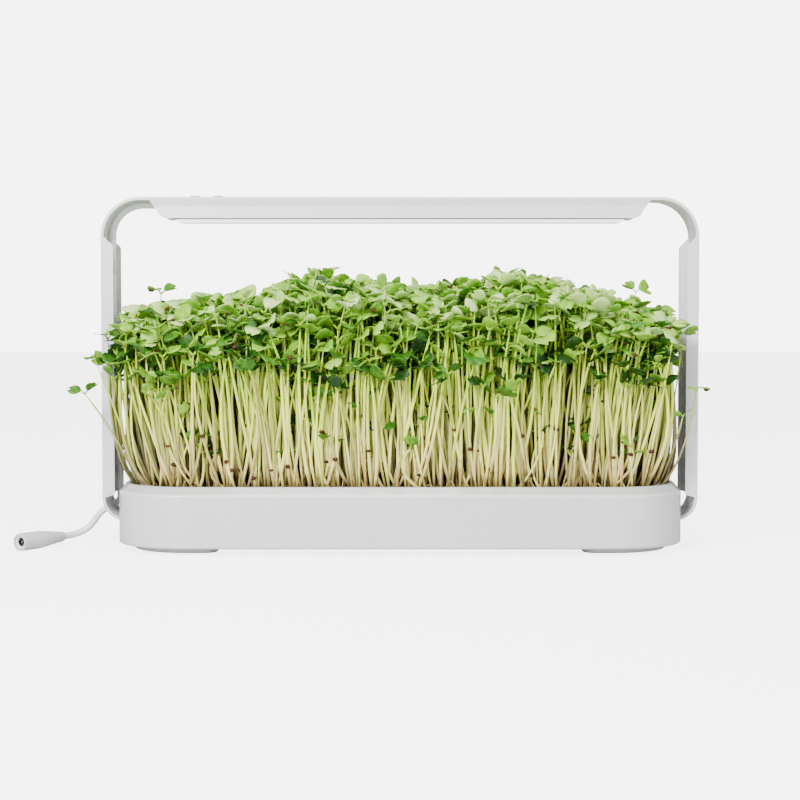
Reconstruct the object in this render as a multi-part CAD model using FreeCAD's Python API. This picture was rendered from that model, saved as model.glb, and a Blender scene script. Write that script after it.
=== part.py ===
"""Countertop growing garden: a bent steel hoop with a lamp in its top bar, standing on two feet,
and a stoneware bowl that holds a perforated tray, three seed mats and their crop of cress.

Millimetres. X runs along the bowl, Y points away from the viewer, Z is up. The origin is on the
table, under the middle of the hoop.
"""
import FreeCAD, Part
import math
import os

V = FreeCAD.Vector

# Small distances: what counts as the same place, how far a cutter runs past a face, and the gaps of fits
SAME = 0.01
PAST = 1.0
FIT = 0.1
THREAD_GAP = 0.05
HOLE_GAP = 0.2

# Hoop: one strip of sheet steel bent to a ring, with flanges folded along its straight runs
HOOP_WIDTH = 395.0
HOOP_TOP = 232.5
HOOP_UNDERSIDE = 18.2
STRIP_WIDTH = 38.0
SHEET = 2.0
TOP_BEND = 26.0
LOW_BEND = 15.5
EDGE_ROUND = 1.0
POST_FLANGE = 8.2
BAR_FLANGE = 14.0
BAR_CREASE = 6.1
CREASE_DEPTH = 1.2
FLANGE_LAP = 1.5
POST_CUT_HIGH = 206.9
POST_CORNER = 2.1
POST_TOE = 36.4
TOE_ROUND = 1.0
# x, and how far below the hoop's top, along the swept end of the bar's flange
BAR_END = ((166.8, 0.0), (162.4, BAR_CREASE), (160.2, 9.1), (157.9, 12.6, "mid"), (153.0, BAR_FLANGE))

# Feet under the ends of the strip
FOOT_INNER_X = 118.0
FOOT_INSET = 2.0
FOOT_CORNER = 9.0
FOOT_EDGE = 1.5
PAD_HEIGHT = 1.0
PAD_RADIUS = 7.0
PAD_Y = 34.0
FOOT_SCREW_SPREAD = 14.0
FOOT_SCREW_RADIUS = 1.9
FOOT_SCREW_HEAD = 3.9
FOOT_SCREW_DEPTH = 8.0
HEX_SOCKET_RADIUS = 1.3
HEX_SOCKET_DEPTH = 1.2
INSERT_RADIUS = 3.0
INSERT_DEPTH = 9.0

# Bowl
BOWL_LENGTH = 372.0
BOWL_WIDTH = 130.0
BOWL_CORNER = 48.0
BOWL_BOTTOM = 4.7
BOWL_SHOULDER = 38.8
BOWL_LIP = 44.4
SHOULDER_INSET = 5.0
LIP_WALL = 3.0
BOWL_FLOOR_TOP = 27.0
BOWL_FLOOR_UNDERSIDE = 22.0
SHOULDER_ROUND = 0.9
LIP_ROUND = 1.2
LIP_INNER_ROUND = 1.0
BASE_ROUND = 1.6
FLOOR_ROUND = 4.0
UNDER_ROUND = 3.0
NOTCH_WIDTH = 43.0
NOTCH_TOP = 23.0
BUMPER_X = 95.0
BUMPER_Y = 11.5
BUMPER_RADIUS = 6.0

# Tray, mats and crop
TRAY_GAP = 1.5
TRAY_PLATE = 1.5
TRAY_TOP = 37.0
TRAY_RIM_TOP = 41.0
TRAY_WALL = 1.2
HOLE_RADIUS = 2.0
HOLE_STEP_X = 18.5
HOLE_STEP_Y = 18.0
HOLES_EACH_WAY_X = 8
HOLES_EACH_WAY_Y = 2
LEG_RADIUS = 4.5
LEG_PLACES = ((157, 27), (74, 47))
MAT_TOP = 42.0
MAT_GAP = 0.8
CROP_TOP = 180.0
CROP_SIDES = 40
CROP_STEM_HALF = 47.0
CROP_CANOPY_HALF = 71.0
CROP_OVERHANG = 23.0
# height, how far the block has flared out there, and the turn of its flutes
CROP_LEVELS = ((42.0, 0.0, 0.0), (74.0, 0.15, math.pi), (100.0, 0.45, 0.0),
               (114.0, 0.8, math.pi), (130.0, 1.0, 0.0), (145.0, 0.9, math.pi))
# size of each ring over the canopy, as a share of its full spread
CANOPY_SHARES = (0.86, 0.64, 0.38, 0.16)
CANOPY_BASE = 161.0
# middle, half spread and height of each broad swell along the bowl
CANOPY_SWELLS = ((-45, 42, 12), (76, 48, 14))
# fall towards the ends and the sides, as height and the distance it is reached at
END_FALL = (16.0, 190.0)
SIDE_FALL = (5.0, 60.0)
# ripple of the canopy: height, and radians per millimetre along and across
RIPPLE = (4.5, 0.21, 0.17)
FLUTES = 10
FLUTE_DEPTH = 0.04
CORNER_SQUARENESS = 0.4
CROP_CLEAR_X = 185.5
CROP_CLEAR_Y = 23.0

# Lamp, from the strip down to the diffuser
LAMP_WEB_TOP = 229.0
HEAT_SINK_SHEET = 1.5
HEAT_SINK_START = -102.0
HEAT_SINK_HALF_WIDTH = 15.5
LAMP_HALF_LENGTH = 150.0
LAMP_SCREWS_X = (-88.0, 24.0, 136.0)
LAMP_SCREW_RADIUS = 1.45
LAMP_SCREW_HEAD = 2.9
LAMP_SCREW_HEAD_HEIGHT = 1.9
LAMP_SCREW_SOCKET_DEPTH = 1.0
LAMP_NUT_RADIUS = 4.0
BOARD_THICKNESS = 1.6
LED_BOARD_X = (-98.0, 146.0)
LED_BOARD_HALF_WIDTH = 11.0
LED_BOARD_HOLE = 3.4
LED_SIZE = (2.8, 3.5, 0.7)
LED_COUNT = 22
LED_X = (-92.0, 142.0)
LED_Y = 7.0
DIFFUSER_BOTTOM = 216.0
DIFFUSER_BEVEL_TOP = 218.6
DIFFUSER_TOP = 221.8
DIFFUSER_BEVEL = 4.0
INNER_BEVEL_SHIFT = (0.5, 0.4)
DIFFUSER_HALF_WIDTH = 16.2
DIFFUSER_EDGE = 1.0
DIFFUSER_WALL = 1.2
CAP_SHEET = 2.0
CAP_BOTTOM = 219.0

# Control board over the left end of the lamp, with what stands on it
SWITCH_BOARD_TOP = 222.6
CONTROL_BOARD_X = (-148.0, -104.0)
CONTROL_BOARD_HALF_WIDTH = 12.0
COIL_X = (-114.5, -107.5)
COIL_HALF_WIDTH = 3.5
COIL_HEIGHT = 3.2
REGULATOR_X = (-131.5, -127.0)
REGULATOR_Y = (5.5, 10.0)
REGULATOR_HEIGHT = 1.6
CAPACITOR_X = -129.2
CAPACITOR_Y = -7.6
CAPACITOR_RADIUS = 3.1
CAPACITOR_HEIGHT = 5.4
SPACER_PLACES = ((-143.0, -8.5), (-143.0, 8.5), (-109.0, -8.5), (-109.0, 8.5))
SPACER_RADIUS = 2.4
BOARD_SCREW_RADIUS = 1.05
BOARD_SCREW_HEAD = 2.1
BOARD_SCREW_HEAD_HEIGHT = 1.4
BOARD_SCREW_LENGTH = 6.0
LINK_SHEET = 0.5
LINK_LAP = 3.5
LINK_REACH = 1.0
LINK_SKEW = 0.2
LINK_HALF_WIDTH = 2.5
TERMINAL_X = (-147.8, -142.9)
TERMINAL_HALF_WIDTH = 4.5
TERMINAL_TOP = 230.2
SWITCH_HALF_SIZE = 3.0
SWITCH_TOP = 226.0
PLUNGER_RADIUS = 1.7
PLUNGER_TOP = 226.6

# Buttons
BUTTON_X = {"power": -136.8, "timer": -121.6}
BUTTON_RADIUS = 3.65
BUTTON_HOLE = 3.72
BUTTON_PROUD = 1.5
BUTTON_CHAMFER = 0.5
BUTTON_FLANGE = 5.0
BUTTON_FLANGE_SHEET = 1.4
BUTTON_CAP_BOTTOM = 229.6
BUTTON_STEM_RADIUS = 1.5
BUTTON_STEM_BOTTOM = 227.2
BUTTON_STEM_LENGTH = 2.2
DIMPLE_RADIUS = 8.0
DIMPLE_DEPTH = 0.25

# Low-voltage lead: held inside the hoop, then free for a short tail with an inline socket
LEAD_DIAMETER = 4.4
LEAD_TOP_Z = 227.8
LEAD_POST_X = -191.9
LEAD_LOW_X = -189.4
LEAD_STRAIGHT_END = 92.0
LEAD_SLANT_END = 58.0
LEAD_EASY_BEND = 30.0
LEAD_EXIT_BEND = 6.0
LEAD_EXIT_Y = 10.0
CLIP_HEIGHTS = (186.0, 140.0, 98.0)
CLIP_REACH = 5.6
CLIP_HALF_WIDTH = 4.2
CLIP_HALF_HEIGHT = 4.0
CLIP_MOUTH = 1.9
EXIT_HOLE = 4.2
BUSH_START = 12.0
BUSH_PROUD = 0.4
COLLAR_RADIUS = 5.0
COLLAR_SHEET = 1.1
SLEEVE_END_RADIUS = 3.2
TAIL_ROUTE = [
    V(-198.02, 10.0, 24.45),
    V(-202.35, 10.0, 21.95),
    V(-206.3, 10.8, 16.8),
    V(-210.4, 11.1, 11.2),
    V(-215.3, 10.1, 8.0),
    V(-220.4, 7.2, 6.3),
    V(-224.5, 2.85, 5.8),
    V(-227.3, -1.3, 5.8),
]
SOCKET_RADIUS = 5.8
SOCKET_LENGTH = 40.0
SOCKET_NECK = 14.0
SOCKET_SWELL = 8.0
NECK_START_RADIUS = 3.3
NECK_END_RADIUS = 4.9
MOUTH_ROUND = 0.7
GRIP_GROOVES = (3.0, 6.2, 9.4)
GROOVE_WIDTH = 1.2
GROOVE_FLOOR = 2.9
GROOVE_FLARE = 0.1
SOCKET_BORE = 4.4
SOCKET_BORE_DEPTH = 14.0
CORE_INSET = 1.4
PLUG_BORE = 2.8
PLUG_DEPTH = 10.0
BARREL_WALL = 0.3
BARREL_INSET = 2.0
PIN_RADIUS = 1.05
PIN_INSET = 2.2
PIN_ROUND = 0.45

# Worked out from the sizes above
HALF_HOOP = HOOP_WIDTH / 2
HALF_STRIP = STRIP_WIDTH / 2
STRIP_BOTTOM_TOP = HOOP_UNDERSIDE + SHEET
STRIP_TOP_UNDERSIDE = HOOP_TOP - SHEET
LOW_BEND_X = HALF_HOOP - LOW_BEND
LOW_BEND_Z = HOOP_UNDERSIDE + LOW_BEND
CAVITY_LENGTH = BOWL_LENGTH - 2 * (SHOULDER_INSET + LIP_WALL)
CAVITY_WIDTH = BOWL_WIDTH - 2 * (SHOULDER_INSET + LIP_WALL)
CAVITY_CORNER = BOWL_CORNER - SHOULDER_INSET - LIP_WALL
TRAY_LENGTH = CAVITY_LENGTH - 2 * TRAY_GAP
TRAY_WIDTH = CAVITY_WIDTH - 2 * TRAY_GAP
TRAY_CORNER = CAVITY_CORNER - TRAY_GAP
FOOT_OUTER_X = CAVITY_LENGTH / 2 - FOOT_INSET
FOOT_MIDDLE_X = (FOOT_INNER_X + FOOT_OUTER_X) / 2
WEB_UNDERSIDE = LAMP_WEB_TOP - HEAT_SINK_SHEET
CONTROL_BOARD_UNDERSIDE = SWITCH_BOARD_TOP - BOARD_THICKNESS
LED_BOARD_UNDERSIDE = WEB_UNDERSIDE - BOARD_THICKNESS
PLUG_BORE_START = SOCKET_LENGTH - CORE_INSET - PLUG_DEPTH

os.makedirs("parts", exist_ok=True)


def save(name, shape):
    """Write one piece, or one group of separate pieces, and print its volume."""
    shape.exportStep("parts/%s.step" % name)
    state = (name, len(shape.Solids), shape.isValid(), shape.Volume)
    print("%-16s solids %2d  valid %s  %9.1f mm3" % state)


def block(x0, x1, y0, y1, z0, z1):
    return Part.makeBox(x1 - x0, y1 - y0, z1 - z0, V(x0, y0, z0))


def rod(radius, start, end):
    along = end - start
    return Part.makeCylinder(radius, along.Length, start, along)


def cone(start_radius, end_radius, start, end):
    along = end - start
    return Part.makeCone(start_radius, end_radius, along.Length, start, along)


def fuse(shapes):
    return shapes[0].multiFuse(shapes[1:]).removeSplitter()


def mirrored(shape):
    """The same piece on the other side of the middle, X to -X."""
    return shape.mirror(V(0, 0, 0), V(1, 0, 0))


def arc(first, middle, last):
    return Part.Arc(first, middle, last).toShape()


def line(first, last):
    return Part.LineSegment(first, last).toShape()


def rounded_rectangle(x_half, y_half, radius, place, y_mid=0.0):
    """Closed wire of four lines and four arcs; place(x, y) turns flat points into space."""
    radii = radius if isinstance(radius, tuple) else (radius,) * 4
    edges = []
    ends = []
    signs = ((1, 1), (-1, 1), (-1, -1), (1, -1))
    for turn, ((sx, sy), r) in enumerate(zip(signs, radii)):
        cx = sx * (x_half - r)
        cy = y_mid + sy * (y_half - r)
        points = []
        for part in (0, 0.5, 1):
            angle = math.radians(90 * (turn + part))
            points.append(place(cx + r * math.cos(angle), cy + r * math.sin(angle)))
        edges.append(arc(*points))
        ends.append((points[0], points[2]))
    sides = [line(ends[i][1], ends[(i + 1) % 4][0]) for i in range(4)]
    ring = []
    for corner, side in zip(edges, sides):
        ring += [corner, side]
    return Part.Wire(ring)


def plan(length, width, radius, z):
    return rounded_rectangle(length / 2, width / 2, radius, lambda x, y: V(x, y, z))


def slab(length, width, radius, z0, z1):
    """Upright prism on a rounded rectangle."""
    return Part.Face(plan(length, width, radius, z0)).extrude(V(0, 0, z1 - z0))


def upright_plate(points, y0, y1):
    """Plate in the X-Z plane from y0 to y1; a point given as (x, z, "mid") is the middle of an arc."""
    edges = []
    count = len(points)
    here = 0
    while here < count:
        first = points[here]
        second = points[(here + 1) % count]
        if len(second) == 3:
            third = points[(here + 2) % count]
            edges.append(arc(*[V(p[0], y0, p[1]) for p in (first, second, third)]))
            here += 2
        else:
            edges.append(line(V(first[0], y0, first[1]), V(second[0], y0, second[1])))
            here += 1
    return Part.Face(Part.Wire(edges)).extrude(V(0, y1 - y0, 0))


def tube(points, radius, bends=None):
    """Round lead along straight runs joined by tangent arcs; bends sets the radius where a clip does."""
    edges = []
    start = points[0]
    for i in range(1, len(points) - 1):
        back = (points[i - 1] - points[i]).normalize()
        ahead = (points[i + 1] - points[i]).normalize()
        turn = math.pi - back.getAngle(ahead)
        shorter = min((points[k] - points[i]).Length for k in (i - 1, i + 1))
        bend = 0.45 * shorter / math.tan(turn / 2)
        if bends and i in bends:
            bend = bends[i]
        reach = bend * math.tan(turn / 2)
        into = points[i] + back * reach
        out = points[i] + ahead * reach
        middle = (back + ahead).normalize()
        centre = points[i] + middle * math.hypot(bend, reach)
        edges.append(line(start, into))
        edges.append(arc(into, centre - middle * bend, out))
        start = out
        print("   bend %d: turn %.1f deg, radius %.1f mm" % (i, math.degrees(turn), bend))
    edges.append(line(start, points[-1]))
    path = Part.Wire(edges)
    ring = Part.Wire(Part.makeCircle(radius, points[0], points[1] - points[0]))
    shell = Part.BRepOffsetAPI.MakePipeShell(path)
    shell.add(ring)
    shell.build()
    shell.makeSolid()
    solid = shell.shape()
    print("   length %.1f mm, volume / (section x length) = %.4f"
          % (path.Length, solid.Volume / (math.pi * radius ** 2 * path.Length)))
    return solid


def hoop_ring():
    """The bent strip itself, its long edges rounded on the outside."""
    height = (HOOP_TOP - HOOP_UNDERSIDE) / 2
    middle = (HOOP_TOP + HOOP_UNDERSIDE) / 2

    def place(x, z):
        return V(x, -HALF_STRIP, z)

    outer_bends = (TOP_BEND, TOP_BEND, LOW_BEND, LOW_BEND)
    inner_bends = tuple(bend - SHEET for bend in outer_bends)
    outer = rounded_rectangle(HALF_HOOP, height, outer_bends, place, middle)
    inner = rounded_rectangle(HALF_HOOP - SHEET, height - SHEET, inner_bends, place, middle)
    body = Part.Face(outer).extrude(V(0, STRIP_WIDTH, 0))
    rims = [e for e in body.Edges if abs(abs(e.CenterOfMass.y) - HALF_STRIP) < SAME]
    body = body.makeFillet(EDGE_ROUND, rims)
    return body.cut(Part.Face(inner).extrude(V(0, STRIP_WIDTH, 0)))


def post_flanges():
    """Front and back flange of the right post, cut off at 45 degrees above and sloped below."""
    outer = HALF_HOOP - FLANGE_LAP
    inner = HALF_HOOP - POST_FLANGE
    cut_x = inner + POST_CORNER
    cut_z = POST_CUT_HIGH - (outer - cut_x)
    outline = [
        (outer, LOW_BEND_Z),
        (outer, POST_CUT_HIGH),
        (cut_x, cut_z),
        (inner + 0.29 * POST_CORNER, cut_z - 0.66 * POST_CORNER, "mid"),
        (inner, cut_z - 1.55 * POST_CORNER),
        (inner, POST_TOE),
        (inner + 0.3 * TOE_ROUND, POST_TOE - 0.6 * TOE_ROUND, "mid"),
        (inner + 1.1 * TOE_ROUND, POST_TOE - TOE_ROUND),
    ]
    return [upright_plate(outline, y, y + SHEET) for y in (-HALF_STRIP, HALF_STRIP - SHEET)]


def bar_flange():
    """Front flange of the top bar: pinched along a crease, its ends swept up to the strip."""
    top = HOOP_TOP - FLANGE_LAP
    crease = HOOP_TOP - BAR_CREASE
    bottom = HOOP_TOP - BAR_FLANGE
    face = -HALF_STRIP
    back = face + SHEET
    section = [V(0, face, top), V(0, face + CREASE_DEPTH, crease), V(0, face, bottom),
               V(0, back, bottom), V(0, back + CREASE_DEPTH, crease), V(0, back, top)]
    section = [p + V(-HALF_HOOP, 0, 0) for p in section]
    long_bar = Part.Face(Part.makePolygon(section + [section[0]])).extrude(V(HOOP_WIDTH, 0, 0))
    right = [(p[0], HOOP_TOP - p[1]) + p[2:] for p in BAR_END]
    left = [(-p[0],) + p[1:] for p in reversed(right)]
    outline = upright_plate(right + left, face - PAST, back + CREASE_DEPTH + PAST)
    return long_bar.common(outline)


def lead_exit():
    """Point on the bend's own axis, and the way the lead leaves through the lower left bend."""
    away = (TAIL_ROUTE[1] - TAIL_ROUTE[0]).normalize()
    return V(-LOW_BEND_X, LEAD_EXIT_Y, LOW_BEND_Z), away


def frame_hoop():
    front = bar_flange()
    flanges = post_flanges()
    pieces = [hoop_ring(), front, front.mirror(V(0, 0, 0), V(0, 1, 0))]
    pieces += flanges + [mirrored(f) for f in flanges]
    hoop = fuse(pieces)
    for x in BUTTON_X.values():
        hoop = hoop.cut(rod(BUTTON_HOLE, V(x, 0, STRIP_TOP_UNDERSIDE - PAST), V(x, 0, HOOP_TOP + PAST)))
    hole = FOOT_SCREW_RADIUS + HOLE_GAP
    sink = FOOT_SCREW_HEAD + HOLE_GAP
    for x in foot_screw_places():
        hoop = hoop.cut(rod(hole, V(x, 0, HOOP_UNDERSIDE - PAST), V(x, 0, STRIP_BOTTOM_TOP + PAST)))
        hoop = hoop.cut(cone(hole, sink, V(x, 0, HOOP_UNDERSIDE), V(x, 0, STRIP_BOTTOM_TOP)))
    centre, away = lead_exit()
    inside = LOW_BEND - SHEET - 3 * PAST
    return hoop.cut(rod(EXIT_HOLE, centre + away * inside, centre + away * (LOW_BEND + 3 * PAST)))


def foot_screw_places():
    shifts = (-FOOT_SCREW_SPREAD, FOOT_SCREW_SPREAD)
    return [side * (FOOT_MIDDLE_X + shift) for side in (-1, 1) for shift in shifts]


def foot():
    """Right foot: a block that follows the inside of the bowl's skirt, with recesses for the inserts."""
    length = 2 * FOOT_OUTER_X
    width = CAVITY_WIDTH - 2 * FOOT_INSET
    body = slab(length, width, CAVITY_CORNER - FOOT_INSET, PAD_HEIGHT, HOOP_UNDERSIDE)
    body = body.common(block(FOOT_INNER_X, FOOT_OUTER_X + PAST, -width, width, 0, HOOP_UNDERSIDE))
    upright = [e for e in body.Edges if abs(e.CenterOfMass.x - FOOT_INNER_X) < SAME
               and e.BoundBox.YLength < SAME]
    body = body.makeFillet(FOOT_CORNER, upright)
    under = [e for e in body.Edges if abs(e.CenterOfMass.z - PAD_HEIGHT) < SAME]
    body = body.makeFillet(FOOT_EDGE, under)
    for x in foot_screw_places():
        recess = rod(INSERT_RADIUS, V(x, 0, HOOP_UNDERSIDE - INSERT_DEPTH), V(x, 0, HOOP_UNDERSIDE + PAST))
        body = body.cut(recess)
    return body


def foot_pads():
    pads = []
    for x in (-FOOT_MIDDLE_X, FOOT_MIDDLE_X):
        for y in (-PAD_Y, PAD_Y):
            pads.append(rod(PAD_RADIUS, V(x, y, 0), V(x, y, PAD_HEIGHT)))
    return Part.makeCompound(pads)


def foot_inserts():
    """Threaded brass inserts moulded into the feet."""
    inserts = []
    for x in foot_screw_places():
        low = V(x, 0, HOOP_UNDERSIDE - INSERT_DEPTH)
        body = rod(INSERT_RADIUS, low, V(x, 0, HOOP_UNDERSIDE))
        thread = rod(FOOT_SCREW_RADIUS, low - V(0, 0, PAST), V(x, 0, HOOP_UNDERSIDE + PAST))
        inserts.append(body.cut(thread))
    return Part.makeCompound(inserts)


def foot_screws():
    """Countersunk screws, flush with the strip."""
    screws = []
    for x in foot_screw_places():
        top = V(x, 0, STRIP_BOTTOM_TOP)
        head = cone(FOOT_SCREW_RADIUS, FOOT_SCREW_HEAD, V(x, 0, HOOP_UNDERSIDE), top)
        head = head.cut(rod(HEX_SOCKET_RADIUS, top - V(0, 0, HEX_SOCKET_DEPTH), top))
        tip = V(x, 0, HOOP_UNDERSIDE - FOOT_SCREW_DEPTH)
        shank = rod(FOOT_SCREW_RADIUS, tip, V(x, 0, HOOP_UNDERSIDE + FIT))
        screws.append(head.fuse(shank).removeSplitter())
    return Part.makeCompound(screws)


def level_edges(body, height):
    """The edges that lie flat at one height."""
    return [e for e in body.Edges if abs(e.BoundBox.ZMin - height) < SAME and e.BoundBox.ZLength < SAME]


def bowl():
    """Stoneware trough: skirt, raised floor, sloped shoulder, thin lip and an end notch for the strip."""
    body = slab(BOWL_LENGTH, BOWL_WIDTH, BOWL_CORNER, BOWL_BOTTOM, BOWL_SHOULDER)
    low = plan(BOWL_LENGTH, BOWL_WIDTH, BOWL_CORNER, BOWL_SHOULDER)
    high = plan(BOWL_LENGTH - 2 * SHOULDER_INSET, BOWL_WIDTH - 2 * SHOULDER_INSET,
                BOWL_CORNER - SHOULDER_INSET, BOWL_LIP)
    body = body.fuse(Part.makeLoft([low, high], True, True)).removeSplitter()
    body = body.makeFillet(SHOULDER_ROUND, level_edges(body, BOWL_SHOULDER))
    body = body.makeFillet(LIP_ROUND, level_edges(body, BOWL_LIP))
    body = body.makeFillet(BASE_ROUND, level_edges(body, BOWL_BOTTOM))
    inside = slab(CAVITY_LENGTH, CAVITY_WIDTH, CAVITY_CORNER, BOWL_FLOOR_TOP, BOWL_LIP + PAST)
    inside = inside.makeFillet(FLOOR_ROUND, level_edges(inside, BOWL_FLOOR_TOP))
    under = slab(CAVITY_LENGTH, CAVITY_WIDTH, CAVITY_CORNER, BOWL_BOTTOM - PAST, BOWL_FLOOR_UNDERSIDE)
    under = under.makeFillet(UNDER_ROUND, level_edges(under, BOWL_FLOOR_UNDERSIDE))
    body = body.cut(inside).cut(under)
    notch = block(-BOWL_LENGTH, BOWL_LENGTH, -NOTCH_WIDTH / 2, NOTCH_WIDTH / 2, 0, BOWL_FLOOR_UNDERSIDE)
    ends = block(CAVITY_LENGTH / 2 - PAST, BOWL_LENGTH, -NOTCH_WIDTH / 2, NOTCH_WIDTH / 2, 0, NOTCH_TOP)
    body = body.cut(notch).cut(ends).cut(mirrored(ends))
    reach_x = CAVITY_LENGTH / 2 + SAME
    reach_y = CAVITY_WIDTH / 2 + SAME
    inner_lip = [e for e in level_edges(body, BOWL_LIP)
                 if max(abs(e.BoundBox.XMin), abs(e.BoundBox.XMax)) <= reach_x
                 and max(abs(e.BoundBox.YMin), abs(e.BoundBox.YMax)) <= reach_y]
    return body.makeFillet(LIP_INNER_ROUND, inner_lip)


def bowl_bumpers():
    """Soft discs under the bowl's floor, which rest on the strip."""
    discs = []
    for x in (-BUMPER_X, BUMPER_X):
        for y in (-BUMPER_Y, BUMPER_Y):
            low = V(x, y, STRIP_BOTTOM_TOP + FIT)
            discs.append(rod(BUMPER_RADIUS, low, V(x, y, BOWL_FLOOR_UNDERSIDE)))
    return Part.makeCompound(discs)


def seed_tray():
    """Thin perforated tray on eight legs, with a low rim."""
    body = slab(TRAY_LENGTH, TRAY_WIDTH, TRAY_CORNER, TRAY_TOP - TRAY_PLATE, TRAY_RIM_TOP)
    hollow = slab(TRAY_LENGTH - 2 * TRAY_WALL, TRAY_WIDTH - 2 * TRAY_WALL, TRAY_CORNER - TRAY_WALL,
                  TRAY_TOP, TRAY_RIM_TOP + PAST)
    body = body.cut(hollow)
    holes = []
    for row in range(-HOLES_EACH_WAY_Y, HOLES_EACH_WAY_Y + 1):
        for column in range(-HOLES_EACH_WAY_X, HOLES_EACH_WAY_X + 1):
            x = HOLE_STEP_X * column
            y = HOLE_STEP_Y * row
            low = V(x, y, TRAY_TOP - TRAY_PLATE - PAST)
            holes.append(rod(HOLE_RADIUS, low, V(x, y, TRAY_TOP + PAST)))
    body = body.cut(Part.makeCompound(holes))
    legs = []
    for x, y in LEG_PLACES:
        for sx, sy in ((-1, -1), (-1, 1), (1, -1), (1, 1)):
            base = V(sx * x, sy * y, BOWL_FLOOR_TOP + FIT)
            legs.append(rod(LEG_RADIUS, base, V(base.x, base.y, TRAY_TOP - TRAY_PLATE)))
    return fuse([body] + legs)


def mat_cells():
    """Name and X limits of the three mats."""
    third = (TRAY_LENGTH - 2 * TRAY_WALL) / 3
    cells = []
    for name, place in (("left", -1), ("middle", 0), ("right", 1)):
        middle = place * third
        cells.append((name, middle - third / 2 + MAT_GAP / 2, middle + third / 2 - MAT_GAP / 2))
    return cells


def mat(x0, x1):
    inset = TRAY_WALL + MAT_GAP
    pad = slab(TRAY_LENGTH - 2 * inset, TRAY_WIDTH - 2 * inset, TRAY_CORNER - inset, TRAY_TOP, MAT_TOP)
    return pad.common(block(x0, x1, -TRAY_WIDTH, TRAY_WIDTH, TRAY_TOP, MAT_TOP))


def canopy_height(x, y):
    """Height of the leaf tops: two broad swells, falling off at both ends, uneven from head to head."""
    swell = sum(high * math.exp(-((x - middle) / half) ** 2) for middle, half, high in CANOPY_SWELLS)
    fall = END_FALL[0] * (x / END_FALL[1]) ** 4 + SIDE_FALL[0] * (y / SIDE_FALL[1]) ** 2
    uneven = RIPPLE[0] * math.sin(RIPPLE[1] * x) * math.cos(RIPPLE[2] * y)
    return min(CROP_TOP, CANOPY_BASE + swell - fall + uneven)


def crop_ring(x0, x1, half_width, phase, height):
    """Closed ring of points round a block, square in plan with soft corners and shallow flutes."""
    middle = (x0 + x1) / 2
    half_length = (x1 - x0) / 2
    ring = []
    for i in range(CROP_SIDES):
        angle = 2 * math.pi * i / CROP_SIDES
        flute = 1 - FLUTE_DEPTH + FLUTE_DEPTH * math.cos(FLUTES * angle + phase)
        across = math.copysign(abs(math.cos(angle)) ** CORNER_SQUARENESS, math.cos(angle))
        along = math.copysign(abs(math.sin(angle)) ** CORNER_SQUARENESS, math.sin(angle))
        x = middle + half_length * flute * across
        y = half_width * flute * along
        ring.append(V(x, y, height if height else canopy_height(x, y)))
    return ring


def crop(x0, x1):
    """One mat's crop: a dense block of stems that flares into a canopy with an uneven top."""
    reach_low = CROP_OVERHANG if x1 < 0 else 0
    reach_high = CROP_OVERHANG if x0 > 0 else 0
    rings = []
    for height, flare, phase in CROP_LEVELS:
        width = CROP_STEM_HALF + (CROP_CANOPY_HALF - CROP_STEM_HALF) * flare
        rings.append(crop_ring(x0 - reach_low * flare, x1 + reach_high * flare, width, phase, height))
    for share in CANOPY_SHARES:
        middle = (x0 + x1 + reach_high - reach_low) / 2
        length = (x1 - x0 + reach_high + reach_low) * share / 2
        rings.append(crop_ring(middle - length, middle + length, CROP_CANOPY_HALF * share, 0, None))
    tip = V(middle, 0, canopy_height(middle, 0))
    faces = [Part.Face(Part.makePolygon(rings[0] + [rings[0][0]]))]
    for low, high in zip(rings, rings[1:]):
        for i in range(CROP_SIDES):
            k = (i + 1) % CROP_SIDES
            faces.append(Part.Face(Part.makePolygon([low[i], low[k], high[k], low[i]])))
            faces.append(Part.Face(Part.makePolygon([low[i], high[k], high[i], low[i]])))
    for i in range(CROP_SIDES):
        k = (i + 1) % CROP_SIDES
        faces.append(Part.Face(Part.makePolygon([rings[-1][i], rings[-1][k], tip, rings[-1][i]])))
    body = Part.Solid(Part.makeShell(faces))
    if body.Volume < 0:
        body.reverse()
    far = HALF_HOOP + CROP_OVERHANG
    post = block(CROP_CLEAR_X, far, -CROP_CLEAR_Y, CROP_CLEAR_Y, 0, HOOP_TOP)
    return body.cut(post).cut(mirrored(post))


def lamp_heat_sink():
    """Folded aluminium channel that carries the light board."""
    side = HEAT_SINK_HALF_WIDTH
    web = block(HEAT_SINK_START, LAMP_HALF_LENGTH, -side, side, WEB_UNDERSIDE, LAMP_WEB_TOP)
    leg = block(HEAT_SINK_START, LAMP_HALF_LENGTH, -side, HEAT_SINK_SHEET - side,
                DIFFUSER_TOP, LAMP_WEB_TOP)
    body = fuse([web, leg, leg.mirror(V(0, 0, 0), V(0, 1, 0))])
    for x in LAMP_SCREWS_X:
        low = V(x, 0, WEB_UNDERSIDE - PAST)
        body = body.cut(rod(LAMP_SCREW_RADIUS + HOLE_GAP, low, V(x, 0, LAMP_WEB_TOP + PAST)))
    return body


def lamp_nuts():
    """Round weld nuts on the underside of the top strip."""
    nuts = []
    for x in LAMP_SCREWS_X:
        nut = rod(LAMP_NUT_RADIUS, V(x, 0, LAMP_WEB_TOP), V(x, 0, STRIP_TOP_UNDERSIDE))
        thread = rod(LAMP_SCREW_RADIUS + THREAD_GAP, V(x, 0, LAMP_WEB_TOP - PAST), V(x, 0, HOOP_TOP))
        nuts.append(nut.cut(thread))
    return Part.makeCompound(nuts)


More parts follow.
